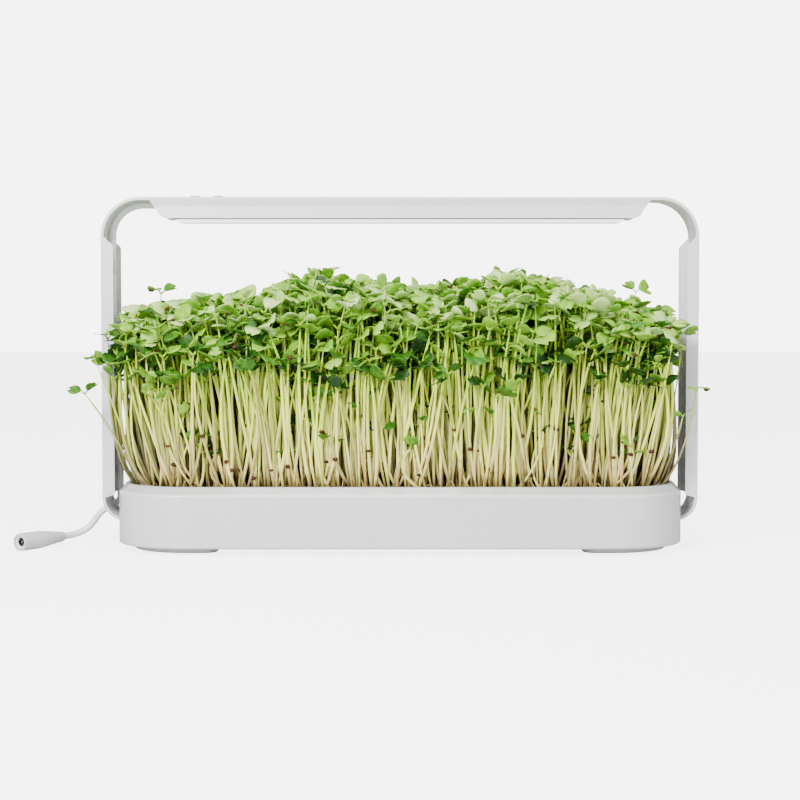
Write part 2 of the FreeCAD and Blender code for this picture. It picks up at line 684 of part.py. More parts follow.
def lamp_screws():
    screws = []
    for x in LAMP_SCREWS_X:
        low = WEB_UNDERSIDE - LAMP_SCREW_HEAD_HEIGHT
        head = rod(LAMP_SCREW_HEAD, V(x, 0, low), V(x, 0, WEB_UNDERSIDE))
        head = head.cut(rod(HEX_SOCKET_RADIUS, V(x, 0, low - PAST), V(x, 0, low + LAMP_SCREW_SOCKET_DEPTH)))
        shank = rod(LAMP_SCREW_RADIUS, V(x, 0, WEB_UNDERSIDE), V(x, 0, STRIP_TOP_UNDERSIDE - FIT))
        screws.append(head.fuse(shank).removeSplitter())
    return Part.makeCompound(screws)


def led_board():
    side = LED_BOARD_HALF_WIDTH
    board = block(*LED_BOARD_X, -side, side, LED_BOARD_UNDERSIDE, WEB_UNDERSIDE)
    for x in LAMP_SCREWS_X:
        hole = rod(LED_BOARD_HOLE, V(x, 0, LED_BOARD_UNDERSIDE - PAST), V(x, 0, HOOP_TOP))
        board = board.cut(hole)
    return board


def led_chips():
    """Two rows of light-emitting chips under the board."""
    long, wide, tall = LED_SIZE
    top = LED_BOARD_UNDERSIDE
    first, last = LED_X
    chips = []
    for i in range(LED_COUNT):
        x = first + (last - first) * i / (LED_COUNT - 1)
        for y in (-LED_Y, LED_Y):
            chips.append(block(x - long / 2, x + long / 2, y - wide / 2, y + wide / 2, top - tall, top))
    return Part.makeCompound(chips)


def lamp_diffuser():
    """Opal cover: a shallow trough, its lower half showing under the bar, bevelled at both ends."""
    half = LAMP_HALF_LENGTH
    flat = half - DIFFUSER_BEVEL
    side = DIFFUSER_HALF_WIDTH
    outer = upright_plate([(-flat, DIFFUSER_BOTTOM), (flat, DIFFUSER_BOTTOM), (half, DIFFUSER_BEVEL_TOP),
                           (half, DIFFUSER_TOP), (-half, DIFFUSER_TOP), (-half, DIFFUSER_BEVEL_TOP)],
                          -side, side)
    long_edges = [e for e in level_edges(outer, DIFFUSER_BOTTOM) if e.BoundBox.XLength > half]
    outer = outer.makeFillet(DIFFUSER_EDGE, long_edges)
    floor = DIFFUSER_BOTTOM + DIFFUSER_WALL
    end = half - DIFFUSER_WALL
    flat -= INNER_BEVEL_SHIFT[0]
    bevel = DIFFUSER_BEVEL_TOP + INNER_BEVEL_SHIFT[1]
    top = DIFFUSER_TOP + PAST
    inner = upright_plate([(-flat, floor), (flat, floor), (end, bevel), (end, top),
                           (-end, top), (-end, bevel)], DIFFUSER_WALL - side, side - DIFFUSER_WALL)
    return outer.cut(inner)


def lamp_cap():
    """Right end plug of the lamp, between the diffuser and the strip."""
    near = LAMP_HALF_LENGTH + FIT
    side = HEAT_SINK_HALF_WIDTH
    return block(near, near + CAP_SHEET, -side, side, CAP_BOTTOM, STRIP_TOP_UNDERSIDE - FIT)


def lamp_cap_left():
    far = V(-LAMP_HALF_LENGTH - CAP_SHEET - PAST, 0, LEAD_TOP_Z)
    hole = rod(LEAD_DIAMETER / 2 + FIT, far, V(-LAMP_HALF_LENGTH, 0, LEAD_TOP_Z))
    return mirrored(lamp_cap()).cut(hole)


def control_board():
    """Board that dims and times the lamp, with its coil, regulator and capacitor."""
    under = CONTROL_BOARD_UNDERSIDE
    top = SWITCH_BOARD_TOP
    side = CONTROL_BOARD_HALF_WIDTH
    board = block(*CONTROL_BOARD_X, -side, side, under, top)
    for x, y in SPACER_PLACES:
        hole = rod(BOARD_SCREW_RADIUS + HOLE_GAP, V(x, y, under - PAST), V(x, y, top + PAST))
        board = board.cut(hole)
    coil = block(*COIL_X, -COIL_HALF_WIDTH, COIL_HALF_WIDTH, top, top + COIL_HEIGHT)
    regulator = block(*REGULATOR_X, *REGULATOR_Y, top, top + REGULATOR_HEIGHT)
    base = V(CAPACITOR_X, CAPACITOR_Y, top)
    capacitor = rod(CAPACITOR_RADIUS, base, base + V(0, 0, CAPACITOR_HEIGHT))
    return fuse([board, coil, regulator, capacitor])


def board_spacers():
    spacers = []
    for x, y in SPACER_PLACES:
        body = rod(SPACER_RADIUS, V(x, y, SWITCH_BOARD_TOP), V(x, y, STRIP_TOP_UNDERSIDE))
        bottom = V(x, y, SWITCH_BOARD_TOP - PAST)
        thread = rod(BOARD_SCREW_RADIUS + THREAD_GAP, bottom, V(x, y, STRIP_TOP_UNDERSIDE - PAST))
        spacers.append(body.cut(thread))
    return Part.makeCompound(spacers)


def board_screws():
    screws = []
    for x, y in SPACER_PLACES:
        under = V(x, y, CONTROL_BOARD_UNDERSIDE)
        head = rod(BOARD_SCREW_HEAD, under - V(0, 0, BOARD_SCREW_HEAD_HEIGHT), under)
        shank = rod(BOARD_SCREW_RADIUS, under, under + V(0, 0, BOARD_SCREW_LENGTH))
        screws.append(head.fuse(shank).removeSplitter())
    return Part.makeCompound(screws)


def board_link():
    """Flat jumper from the control board to the light board, over their facing ends."""
    low = SWITCH_BOARD_TOP
    high = LED_BOARD_UNDERSIDE
    start = COIL_X[1] + LINK_SKEW
    low_bend = CONTROL_BOARD_X[1] + LINK_REACH
    high_bend = LED_BOARD_X[0] - LINK_REACH
    end = LED_BOARD_X[0] + LINK_LAP
    points = [(start, low), (low_bend, low), (high_bend, high - LINK_SHEET), (end, high - LINK_SHEET),
              (end, high), (high_bend - LINK_SKEW, high), (low_bend - LINK_SKEW, low + LINK_SHEET),
              (start, low + LINK_SHEET)]
    return upright_plate(points, -LINK_HALF_WIDTH, LINK_HALF_WIDTH)


def lead_terminal():
    """Two-way terminal block on the control board, where the lead ends."""
    side = TERMINAL_HALF_WIDTH
    return block(*TERMINAL_X, -side, side, SWITCH_BOARD_TOP, TERMINAL_TOP)


def tact_switch(x):
    """Square switch with a short round plunger under its button."""
    half = SWITCH_HALF_SIZE
    body = block(x - half, x + half, -half, half, SWITCH_BOARD_TOP, SWITCH_TOP)
    plunger = rod(PLUNGER_RADIUS, V(x, 0, SWITCH_TOP), V(x, 0, PLUNGER_TOP))
    return body.fuse(plunger).removeSplitter()


def button(x):
    """Cap with a chamfered edge, a flange that keeps it in the bar, and a stem over the switch."""
    top = HOOP_TOP + BUTTON_PROUD
    cap = rod(BUTTON_RADIUS, V(x, 0, BUTTON_CAP_BOTTOM), V(x, 0, top))
    cap = cap.makeChamfer(BUTTON_CHAMFER, level_edges(cap, top))
    flange_top = V(x, 0, STRIP_TOP_UNDERSIDE - FIT)
    flange = rod(BUTTON_FLANGE, flange_top - V(0, 0, BUTTON_FLANGE_SHEET), flange_top)
    base = V(x, 0, BUTTON_STEM_BOTTOM)
    stem = rod(BUTTON_STEM_RADIUS, base, base + V(0, 0, BUTTON_STEM_LENGTH))
    dimple = Part.makeSphere(DIMPLE_RADIUS, V(x, 0, top + DIMPLE_RADIUS - DIMPLE_DEPTH))
    return fuse([cap, flange, stem]).cut(dimple)


def held_lead():
    """The lead from the terminal, round the top bend, down the post and out through the lower bend."""
    centre, away = lead_exit()
    bend = TOP_BEND - (HALF_HOOP - abs(LEAD_POST_X))
    drop = (LEAD_LOW_X - centre.x) / away.x
    points = [
        V(TERMINAL_X[0], 0, LEAD_TOP_Z),
        V(LEAD_POST_X, 0, LEAD_TOP_Z),
        V(LEAD_POST_X, 0, LEAD_STRAIGHT_END),
        V(LEAD_LOW_X, LEAD_EXIT_Y, LEAD_SLANT_END),
        centre + away * drop,
        TAIL_ROUTE[0],
    ]
    bends = {1: bend, 2: LEAD_EASY_BEND, 3: LEAD_EASY_BEND, 4: LEAD_EXIT_BEND}
    return tube(points, LEAD_DIAMETER / 2, bends)


def lead_clips():
    """Saddles stuck inside the post, each open towards the middle."""
    clips = []
    wall = -HALF_HOOP + SHEET
    side = CLIP_HALF_WIDTH
    for z in CLIP_HEIGHTS:
        body = block(wall, wall + CLIP_REACH, -side, side, z - CLIP_HALF_HEIGHT, z + CLIP_HALF_HEIGHT)
        low = z - CLIP_HALF_HEIGHT - PAST
        high = z + CLIP_HALF_HEIGHT + PAST
        channel = rod(LEAD_DIAMETER / 2 + FIT, V(LEAD_POST_X, 0, low), V(LEAD_POST_X, 0, high))
        mouth = block(LEAD_POST_X, LEAD_POST_X + CLIP_REACH, -CLIP_MOUTH, CLIP_MOUTH, low, high)
        clips.append(body.cut(channel).cut(mouth))
    return Part.makeCompound(clips)


def exit_grommet():
    """Soft bush in the lower bend, with a collar and a short tapered sleeve outside."""
    centre, away = lead_exit()
    end = (TAIL_ROUTE[0] - centre).Length
    body = rod(EXIT_HOLE - THREAD_GAP, centre + away * BUSH_START, centre + away * (LOW_BEND + BUSH_PROUD))
    collar_end = LOW_BEND + COLLAR_SHEET
    collar = rod(COLLAR_RADIUS, centre + away * LOW_BEND, centre + away * collar_end)
    sleeve = cone(EXIT_HOLE, SLEEVE_END_RADIUS, centre + away * (collar_end - FIT), centre + away * end)
    bore = rod(LEAD_DIAMETER / 2 + THREAD_GAP,
               centre + away * (BUSH_START - PAST), centre + away * (end + PAST))
    return fuse([body, collar, sleeve]).cut(bore)


def socket_line(distance):
    """Point on the inline socket's axis, measured from the end of the free lead."""
    along = (TAIL_ROUTE[-1] - TAIL_ROUTE[-2]).normalize()
    return TAIL_ROUTE[-1] + along * distance


def socket_shell():
    """Moulded grip: a ribbed neck that swells into a round body with a wide mouth."""
    front = socket_line(SOCKET_LENGTH)
    swell_end = socket_line(SOCKET_NECK + SOCKET_SWELL)
    neck = cone(NECK_START_RADIUS, NECK_END_RADIUS, socket_line(0), socket_line(SOCKET_NECK))
    body = cone(NECK_END_RADIUS, SOCKET_RADIUS, socket_line(SOCKET_NECK), swell_end)
    mouth = rod(SOCKET_RADIUS, swell_end, front)
    shape = fuse([neck, body, mouth])
    rim = [e for e in shape.Edges if (e.CenterOfMass - front).Length < SAME]
    shape = shape.makeFillet(MOUTH_ROUND, rim)
    for groove in GRIP_GROOVES:
        end = groove + GROOVE_WIDTH
        ring = rod(SOCKET_RADIUS + PAST, socket_line(groove), socket_line(end))
        floor = GROOVE_FLOOR + GROOVE_FLARE * groove
        ring = ring.cut(rod(floor, socket_line(groove - PAST), socket_line(end + PAST)))
        shape = shape.cut(ring)
    bottom = socket_line(SOCKET_LENGTH - SOCKET_BORE_DEPTH)
    return shape.cut(rod(SOCKET_BORE, bottom, socket_line(SOCKET_LENGTH + PAST)))


def socket_insert():
    """Pale core inside the shell, bored for the contacts."""
    bottom = socket_line(SOCKET_LENGTH - SOCKET_BORE_DEPTH)
    core = rod(SOCKET_BORE, bottom, socket_line(SOCKET_LENGTH - CORE_INSET))
    bore = rod(PLUG_BORE + BARREL_WALL, socket_line(PLUG_BORE_START), socket_line(SOCKET_LENGTH))
    return core.cut(bore)


def socket_barrel():
    """Outer contact: a thin sleeve that lines the core's bore."""
    start = socket_line(PLUG_BORE_START)
    end = socket_line(SOCKET_LENGTH - BARREL_INSET)
    return rod(PLUG_BORE + BARREL_WALL, start, end).cut(rod(PLUG_BORE, start, end))


def socket_pin():
    """Centre contact, rounded at its free end."""
    end = socket_line(SOCKET_LENGTH - PIN_INSET)
    pin = rod(PIN_RADIUS, socket_line(PLUG_BORE_START), end)
    return pin.makeFillet(PIN_ROUND, [e for e in pin.Edges if (e.CenterOfMass - end).Length < SAME])


def main():
    save("frame_hoop", frame_hoop())
    right_foot = foot()
    save("foot_right", right_foot)
    save("foot_left", mirrored(right_foot))
    save("foot_pads", foot_pads())
    save("foot_inserts", foot_inserts())
    save("foot_screws", foot_screws())
    save("lamp_heat_sink", lamp_heat_sink())
    save("lamp_nuts", lamp_nuts())
    save("lamp_screws", lamp_screws())
    save("led_board", led_board())
    save("led_chips", led_chips())
    save("lamp_diffuser", lamp_diffuser())
    save("lamp_cap_right", lamp_cap())
    save("lamp_cap_left", lamp_cap_left())
    save("control_board", control_board())
    save("board_spacers", board_spacers())
    save("board_screws", board_screws())
    save("board_link", board_link())
    save("lead_terminal", lead_terminal())
    for name, x in BUTTON_X.items():
        save("switch_" + name, tact_switch(x))
        save("button_" + name, button(x))
    save("held_lead", held_lead())
    save("lead_clips", lead_clips())
    save("exit_grommet", exit_grommet())
    save("power_tail", tube(TAIL_ROUTE, LEAD_DIAMETER / 2))
    save("socket_shell", socket_shell())
    save("socket_insert", socket_insert())
    save("socket_barrel", socket_barrel())
    save("socket_pin", socket_pin())
    save("bowl", bowl())
    save("bowl_bumpers", bowl_bumpers())
    save("seed_tray", seed_tray())
    for name, x0, x1 in mat_cells():
        save("mat_" + name, mat(x0, x1))
        save("crop_" + name, crop(x0, x1))


main()
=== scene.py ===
"""The looks of a countertop growing garden: coated steel hoop, stoneware bowl, felt mats and cress.

Metres. X runs along the bowl, Y points away from the viewer, Z is up, and the table is at Z = 0.
"""
import math

import bpy
import numpy as np
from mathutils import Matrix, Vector


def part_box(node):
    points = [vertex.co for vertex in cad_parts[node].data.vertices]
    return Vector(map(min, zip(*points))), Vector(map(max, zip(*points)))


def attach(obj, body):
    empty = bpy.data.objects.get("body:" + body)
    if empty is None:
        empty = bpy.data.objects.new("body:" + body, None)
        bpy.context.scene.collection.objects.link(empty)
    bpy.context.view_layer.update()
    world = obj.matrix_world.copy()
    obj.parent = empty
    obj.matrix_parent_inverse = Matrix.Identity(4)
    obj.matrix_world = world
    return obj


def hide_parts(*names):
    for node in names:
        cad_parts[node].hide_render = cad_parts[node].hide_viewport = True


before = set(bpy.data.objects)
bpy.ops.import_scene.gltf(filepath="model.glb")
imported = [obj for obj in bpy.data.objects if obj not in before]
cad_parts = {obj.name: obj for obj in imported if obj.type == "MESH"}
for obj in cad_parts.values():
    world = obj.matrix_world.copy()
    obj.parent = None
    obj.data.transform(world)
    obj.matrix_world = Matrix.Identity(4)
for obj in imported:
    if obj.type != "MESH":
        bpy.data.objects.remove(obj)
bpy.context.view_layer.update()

# Camera, worked out from the photograph of 800 x 800 pixels
CAMERA_DISTANCE = 1.300
CAMERA_HEIGHT = 0.158
FOCAL_PIXELS = 1938.0
FRAME_PIXELS = 800
SENSOR_MM = 36.0
HORIZON_PIXEL = 310
NEAREST_SEEN = 0.05

# Studio: name, place, size and power of each soft lamp, all turned to the middle of the garden
GARDEN_MIDDLE = (0, 0, 0.12)
LIGHTS = (
    ("key", (-0.60, -1.25, 0.85), (0.5, 0.4), 46),
    ("fill", (1.2, -1.0, 0.6), (0.4, 0.5), 9),
    ("top", (0.15, -0.15, 1.5), (0.9, 0.3), 13),
)
# the surround's strength from below and above, what its front adds, and how bright it is seen
SURROUND_LOW = 0.10
SURROUND_HIGH = 0.80
SURROUND_FRONT = 0.36
SURROUND_SEEN = 6.5
# between which upward and which backward parts of the view's direction it changes
SURROUND_RISE = (-0.2, 0.9)
SURROUND_TURN = (0.1, -0.95)
FLOOR_GLOW = 4.4
FLOOR_REACH = 6.0

# Free lead: the route of the low-voltage tail, from the sleeve in the bend to the inline socket
LEAD_DIAMETER = 0.0044
TAIL_ROUTE = [
    (-0.19802, 0.0100, 0.02445),
    (-0.20235, 0.0100, 0.02195),
    (-0.2063, 0.0108, 0.0168),
    (-0.2104, 0.0111, 0.0112),
    (-0.2153, 0.0101, 0.0080),
    (-0.2204, 0.0072, 0.0063),
    (-0.2245, 0.00285, 0.0058),
    (-0.2273, -0.0013, 0.0058),
]
TAIL_SIDES = 32
# the groove's depth as a share of the radius, its width, and how far it is turned
TAIL_GROOVE = 0.16
TAIL_GROOVE_WIDTH = 0.035
TAIL_GROOVE_TURN = 0.6

# Finishes: the middle range of a noise pattern
NOISE_RANGE = (0.3, 0.7)
# painted shadow: heights between which the diffuser's walls go from opal to nearly black behind the bar
DIFFUSER_PAINTED_SHADOW = (0.2176, 0.2181, (0.0, 0.95), (1.0, 0.03))
# painted light, from the bowl's face over its shoulder to its lip: highlight on the edge, shade above it
BOWL_PAINTED_LIGHT = (0.036, 0.046, (0.18, 0.86), (0.26, 1.0), (0.33, 1.0), (0.42, 0.70), (0.80, 0.72))

# Mats: points along and across, the end of the row, its rounded corners, and the felt's own size
MATS = ("left", "middle", "right")
MAT_COLUMNS = 90
MAT_ROWS = 80
MAT_TOP = 0.042
MAT_LOWER = 0.0006
MAT_ROW_END = 0.1745
MAT_CORNER = 0.0360
MAT_HALF_DEPTH = 0.0532
FELT_ROUGH = 0.00022
FELT_LUMPS = 0.0004
# how much each end curls up, where that starts, over which run, and where across the right one does
LEFT_CURL = 0.0072
LEFT_CURL_FROM = 0.148
LEFT_CURL_RUN = 0.026
RIGHT_CURL = 0.0150
RIGHT_CURL_FROM = 0.156
RIGHT_CURL_RUN = 0.018
RIGHT_CURL_Y = -0.020
RIGHT_CURL_WIDTH = 0.016
# where the sown bed narrows towards its rounded ends, over which run, and by which share
INSET_FROM = 0.136
INSET_RUN = 0.036
INSET_LOSS = 0.45

# Crop: sprouts of each mat, where they are sown, and how they fan out
CROP_DRAW = 20
SPROUTS_PER_MAT = 860
SOWN_OVERLAP = 0.001
SOWN_HALF_LENGTH = 0.1730
SOWN_HALF_DEPTH = 0.051
FAN_X = 1.03
FAN_Y = 1.34
FLARE_X = 0.08
FLARE_FROM = 0.130
FLARE_RUN = 0.045
TOP_SCATTER_X = 0.0080
TOP_SCATTER_Y = 0.0065
WAYWARD_SHARE = 0.09
WAYWARD_REACH = (0.008, 0.024)

# Levels of the leaves: the zone's lower edge with its waves (height, rate, start), and its top
LEAF_ZONE = 0.113
LEAF_ZONE_WAVES = ((0.006, 61, 1.3), (0.004, 173, 0.0))
LEAF_ZONE_SCATTER = 0.004
CROP_TOP = 0.180
LEAF_HEADROOM = 0.002
CANOPY_BASE = 0.161
CANOPY_SCATTER = 0.0022
# middle, half spread and height of each broad swell along the bowl
CANOPY_SWELLS = ((-0.045, 0.042, 0.012), (0.076, 0.048, 0.014))
CANOPY_END_DROP = 0.016
CANOPY_HALF_LENGTH = 0.190
CANOPY_SIDE_DROP = 0.005
CANOPY_HALF_DEPTH = 0.060
RIPPLE_HEIGHT = 0.0045
RIPPLE_RATE_X = 210
RIPPLE_RATE_Y = 170
# rows at the edge have leaves at every height, inner rows mostly near the top
EDGE_ROWS_FROM = 0.034
EDGE_DEPTH_POWER = 1.15
INNER_DEPTH_POWER = 2.2
LEAN_LEAST = 0.3
LEAN_MOST = 0.010
LEAN_FULL_AT = 0.050

# Clear of the posts, beside them and in front of or behind them
POST_CLEAR_X = 0.1835
POST_CLEAR_Y = 0.026
LEAF_CLEAR_X = 0.1725
LEAF_CLEAR_Y = 0.033
CANOPY_REACH_X = (-0.1900, 0.1735)
CANOPY_REACH_Y = 0.0672
STEM_REACH_X = (-0.1900, 0.1900)

# Stems: size, taper (places along it and widths there), bend, and the bow near the bowl's ends
STEM_RADIUS = 0.00100
STEM_SIZES = (0.72, 1.28)
STEM_SIDES = 6
STEM_RINGS = 8
STEM_TAPER = ((0, 0.02, 0.15, 0.9, 0.99, 1), (0.6, 1.25, 1.0, 0.75, 0.6, 0.3))
STEM_SUNK = 0.0006
BEND_SHARE = (0.35, 0.65)
BEND_SCATTER_X = 0.0085
BEND_SCATTER_Y = 0.0045
BEND_REACH_Y = 0.058
BOW_FROM = 0.150
BOW_RUN = 0.023
BOW_OUT = 0.013
BOW_LOWER = 0.65
BOW_STEADIER = 0.7
STEM_TONE_SPREAD = 0.09
# painted shade inside the crop: its most, where it ends and over which run;
# and the random dullness and brightness of single stems outside it
INNER_PAINTED_SHADE = 0.84
PAINTED_SHADE_HALF_DEPTH = 0.049
PAINTED_SHADE_FADE_Y = 0.020
PAINTED_SHADE_TOP = 0.156
PAINTED_SHADE_FADE_Z = 0.05
DULL_STEM_DARKENING = 0.42
DULL_BELOW = 0.20
BRIGHT_STEM_LIGHTENING = 0.26
BRIGHT_ABOVE = 0.62

# Short sprouts among the stems
LOW_SPROUTS_PER_MAT = 46
LOW_SPROUT_MARGIN = 0.003
LOW_SPROUT_ROWS = (0.040, 0.050)
LOW_SPROUT_HEIGHTS = (0.062, 0.108)
LOW_SPROUT_SIZES = (0.50, 0.86)
LOW_FAN_X = 1.02
LOW_SCATTER_X = 0.006
LOW_REACH_X = 0.1790
LOW_LEAN = (0.001, 0.007)
# painted light on their leaves: little, in the shade of the crop
LOW_LIGHT = 0.05

# Root fibres on the mats
FIBRES_PER_MAT = 150
FIBRE_RADIUS = (0.00016, 0.00030)
FIBRE_MARGIN = 0.002
FIBRE_START_Y = 0.050
FIBRE_REACH = (0.004, 0.014)
FIBRE_FLATTEN_Y = 0.6
FIBRE_ARCH = (0.004, 0.016)
FIBRE_SUNK = 0.0005
FIBRE_LIMIT_X = 0.1740
FIBRE_LIMIT_Y = 0.0520

# Leaves: grid, size, the notch in their end, and the outline's start, span and two small powers
LEAF_ROWS = 5
LEAF_COLUMNS = 5
LEAF_LENGTH = 0.0108
LEAF_HALF_WIDTH = 0.0064
LEAF_SHEET = 0.00032
LEAF_NOTCH = 0.28
LEAF_NOTCH_WIDTH = 0.32
LEAF_SHOULDER = 0.15
LEAF_OUTLINE = (0.05, 0.80, 1.05, 0.68)
LEAF_DROOP = 0.26
# how the leaves of a sprout differ
SPROUT_SIZES = (0.74, 1.18)
LEAF_SIZES = (0.82, 1.12)
LEAF_TURN_SPREAD = 0.30
LEAF_RISE = (-0.40, 0.90)
LEAF_ROLL_SPREAD = 0.50
LEAF_FOLD = (-0.15, 0.55)
SHADE_LIGHT = 0.1
SHADE_RISE = 0.45
# painted light on the leaves: their tone in the shade, what light adds, and the painted sheen it adds to
# some
SHADE_TONE = 0.12
LIGHT_TONE = 0.42
TONE_SPREAD = 0.20
PAINTED_SHEEN_TONE = 0.36
PAINTED_SHEEN_SHARE = 0.38
STALK_SIDES = 4
STALK_RINGS = 4
STALK_LENGTH = 0.0024
STALK_STEEP = 0.9
STALK_SUNK = 0.0006
STALK_WIDTH = 0.8
STALK_BEND_AT = 0.4
STALK_OVERLAP = 1.25
STALK_TONE = 0.80

# Sprouts that stand out of the crop: base, bend, tip, size and way of the first leaf, and if it has a husk
# painted light on the leaves of the strays
STRAY_LIGHT = 0.55
STRAY_WIDTH = 0.7
STRAYS = (
    ((-0.1700, -0.036, 0.0415), (-0.1830, -0.046, 0.078), (-0.2040, -0.048, 0.1040), 0.95, 2.9, False),
    ((-0.1690, -0.033, 0.0415), (-0.1830, -0.044, 0.090), (-0.1975, -0.046, 0.1260), 0.80, 2.2, False),
    ((-0.1500, -0.012, 0.0415), (-0.1620, -0.012, 0.120), (-0.1585, -0.012, 0.1690), 0.85, 2.9, True),
    ((0.1700, -0.034, 0.0415), (0.1875, -0.038, 0.060), (0.1925, -0.041, 0.1060), 0.72, 0.9, True),
    ((0.1690, -0.032, 0.0415), (0.1800, -0.040, 0.070), (0.1840, -0.042, 0.0890), 0.65, 0.2, False),
    ((0.1680, -0.030, 0.0415), (0.1800, -0.038, 0.095), (0.1835, -0.042, 0.1430), 0.85, 0.6, False),
    ((-0.0480, -0.006, 0.0415), (-0.0520, -0.004, 0.120), (-0.0460, -0.004, 0.1770), 0.95, 1.0, False),
    ((0.0700, -0.004, 0.0415), (0.0660, -0.002, 0.120), (0.0700, -0.002, 0.1790), 0.80, 2.6, True),
    ((0.1490, -0.010, 0.0415), (0.1540, -0.008, 0.110), (0.1570, -0.008, 0.1700), 0.90, 0.3, False),
)

# Seeds on the mats, and husks that cling to leaf tips and hang on every few of the front stems
SEED_DRAW = 7
SEEDS = 460
SEED_RINGS = 5
SEED_SIDES = 6
SEED_POLE = 0.35
SEED_WIDTH = 0.75
SEED_HEIGHT = 0.7
SEED_SIZES = (0.0008, 0.0015)
SEED_REACH_X = 0.170
SEED_REACH_Y = 0.048
SEED_LIFT = (0.0004, 0.0022)
HUSK_SIZES = (0.0015, 0.0023)
HUSK_SHARE = 0.055
CAUGHT_EVERY = 7
CAUGHT_FRONT_Y = -0.040
CAUGHT_TOP_ABOVE = 0.100
CAUGHT_HEIGHTS = (0.10, 0.45)
CAUGHT_OUT = 0.0014


def add_camera():
    """Camera in front, at the photograph's height and distance, tipped down to put its horizon in place."""
    data = bpy.data.cameras.new("camera")
    data.sensor_width = SENSOR_MM
    data.lens = FOCAL_PIXELS / FRAME_PIXELS * SENSOR_MM
    data.clip_start = NEAREST_SEEN
    camera = bpy.data.objects.new("camera", data)
    bpy.context.collection.objects.link(camera)
    camera.location = (0, -CAMERA_DISTANCE, CAMERA_HEIGHT)
    tip = math.atan((FRAME_PIXELS / 2 - HORIZON_PIXEL) / FOCAL_PIXELS)
    camera.rotation_euler = (math.pi / 2 - tip, 0, 0)
    bpy.context.scene.camera = camera


def smooth_route():
    """Points along the smooth curve that the lead's route controls."""
    curve = bpy.data.curves.new("route", "CURVE")
    curve.dimensions = "3D"
    spline = curve.splines.new("NURBS")
    spline.points.add(len(TAIL_ROUTE) - 1)
    for point, place in zip(spline.points, TAIL_ROUTE):
        point.co = (*place, 1)
    spline.order_u = 3
    spline.use_endpoint_u = True
    spline.resolution_u = 12
    route = bpy.data.objects.new("route", curve)
    bpy.context.collection.objects.link(route)
    bpy.context.view_layer.update()
    mesh = bpy.data.meshes.new_from_object(route.evaluated_get(bpy.context.evaluated_depsgraph_get()))
    points = np.array([v.co[:] for v in mesh.vertices])
    bpy.data.objects.remove(route)
    bpy.data.meshes.remove(mesh)
    return points


def add_tail(material):
    """The free lead: a round section with a shallow groove along both sides, where its two cores meet,
    carried along the smooth route square to it."""
    line = smooth_route()
    along = np.gradient(line, axis=0)
    along /= np.linalg.norm(along, axis=1, keepdims=True)
    side = np.cross(along, (0.0, 0.0, 1.0))
    side /= np.linalg.norm(side, axis=1, keepdims=True)
    other = np.cross(along, side)
    turn = 2 * np.pi * np.arange(TAIL_SIDES) / TAIL_SIDES
    off = np.abs(np.sin(turn - TAIL_GROOVE_TURN)) - 1
    groove = 1 - TAIL_GROOVE * np.exp(-(off / TAIL_GROOVE_WIDTH) ** 2)
    ring = side[:, None] * (groove * np.cos(turn))[:, None]
    ring = ring + other[:, None] * (groove * np.sin(turn))[:, None]
    points = line[:, None] + LEAD_DIAMETER / 2 * ring
    tail = make_piece("power_tail_lead", points.reshape(-1, 3), tube_faces(len(line), TAIL_SIDES),
                      "stand", "lead_jacket", material)
    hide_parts("power_tail")


def map_range(tree, value, low, high, to_low=0.0, to_high=1.0):
    """Node that maps low to high onto to_low to to_high, and holds the value at both ends."""
    node = tree.nodes.new("ShaderNodeMapRange")
    for name, number in (("From Min", low), ("From Max", high), ("To Min", to_low), ("To Max", to_high)):
        node.inputs[name].default_value = number
    tree.links.new(value, node.inputs["Value"])
    return node


def combine(tree, operation, first, second):
    """Sum or difference of two values, each a number or another node's output."""
    node = tree.nodes.new("ShaderNodeMath")
    node.operation = operation
    for socket, value in zip(node.inputs, (first, second)):
        if isinstance(value, float):
            socket.default_value = value
        else:
            tree.links.new(value, socket)
    return node.outputs["Value"]


def seen_directly(tree):
    """1 where the camera itself sees a surface, 0 where the surface only lights others."""
    return tree.nodes.new("ShaderNodeLightPath").outputs["Is Camera Ray"]


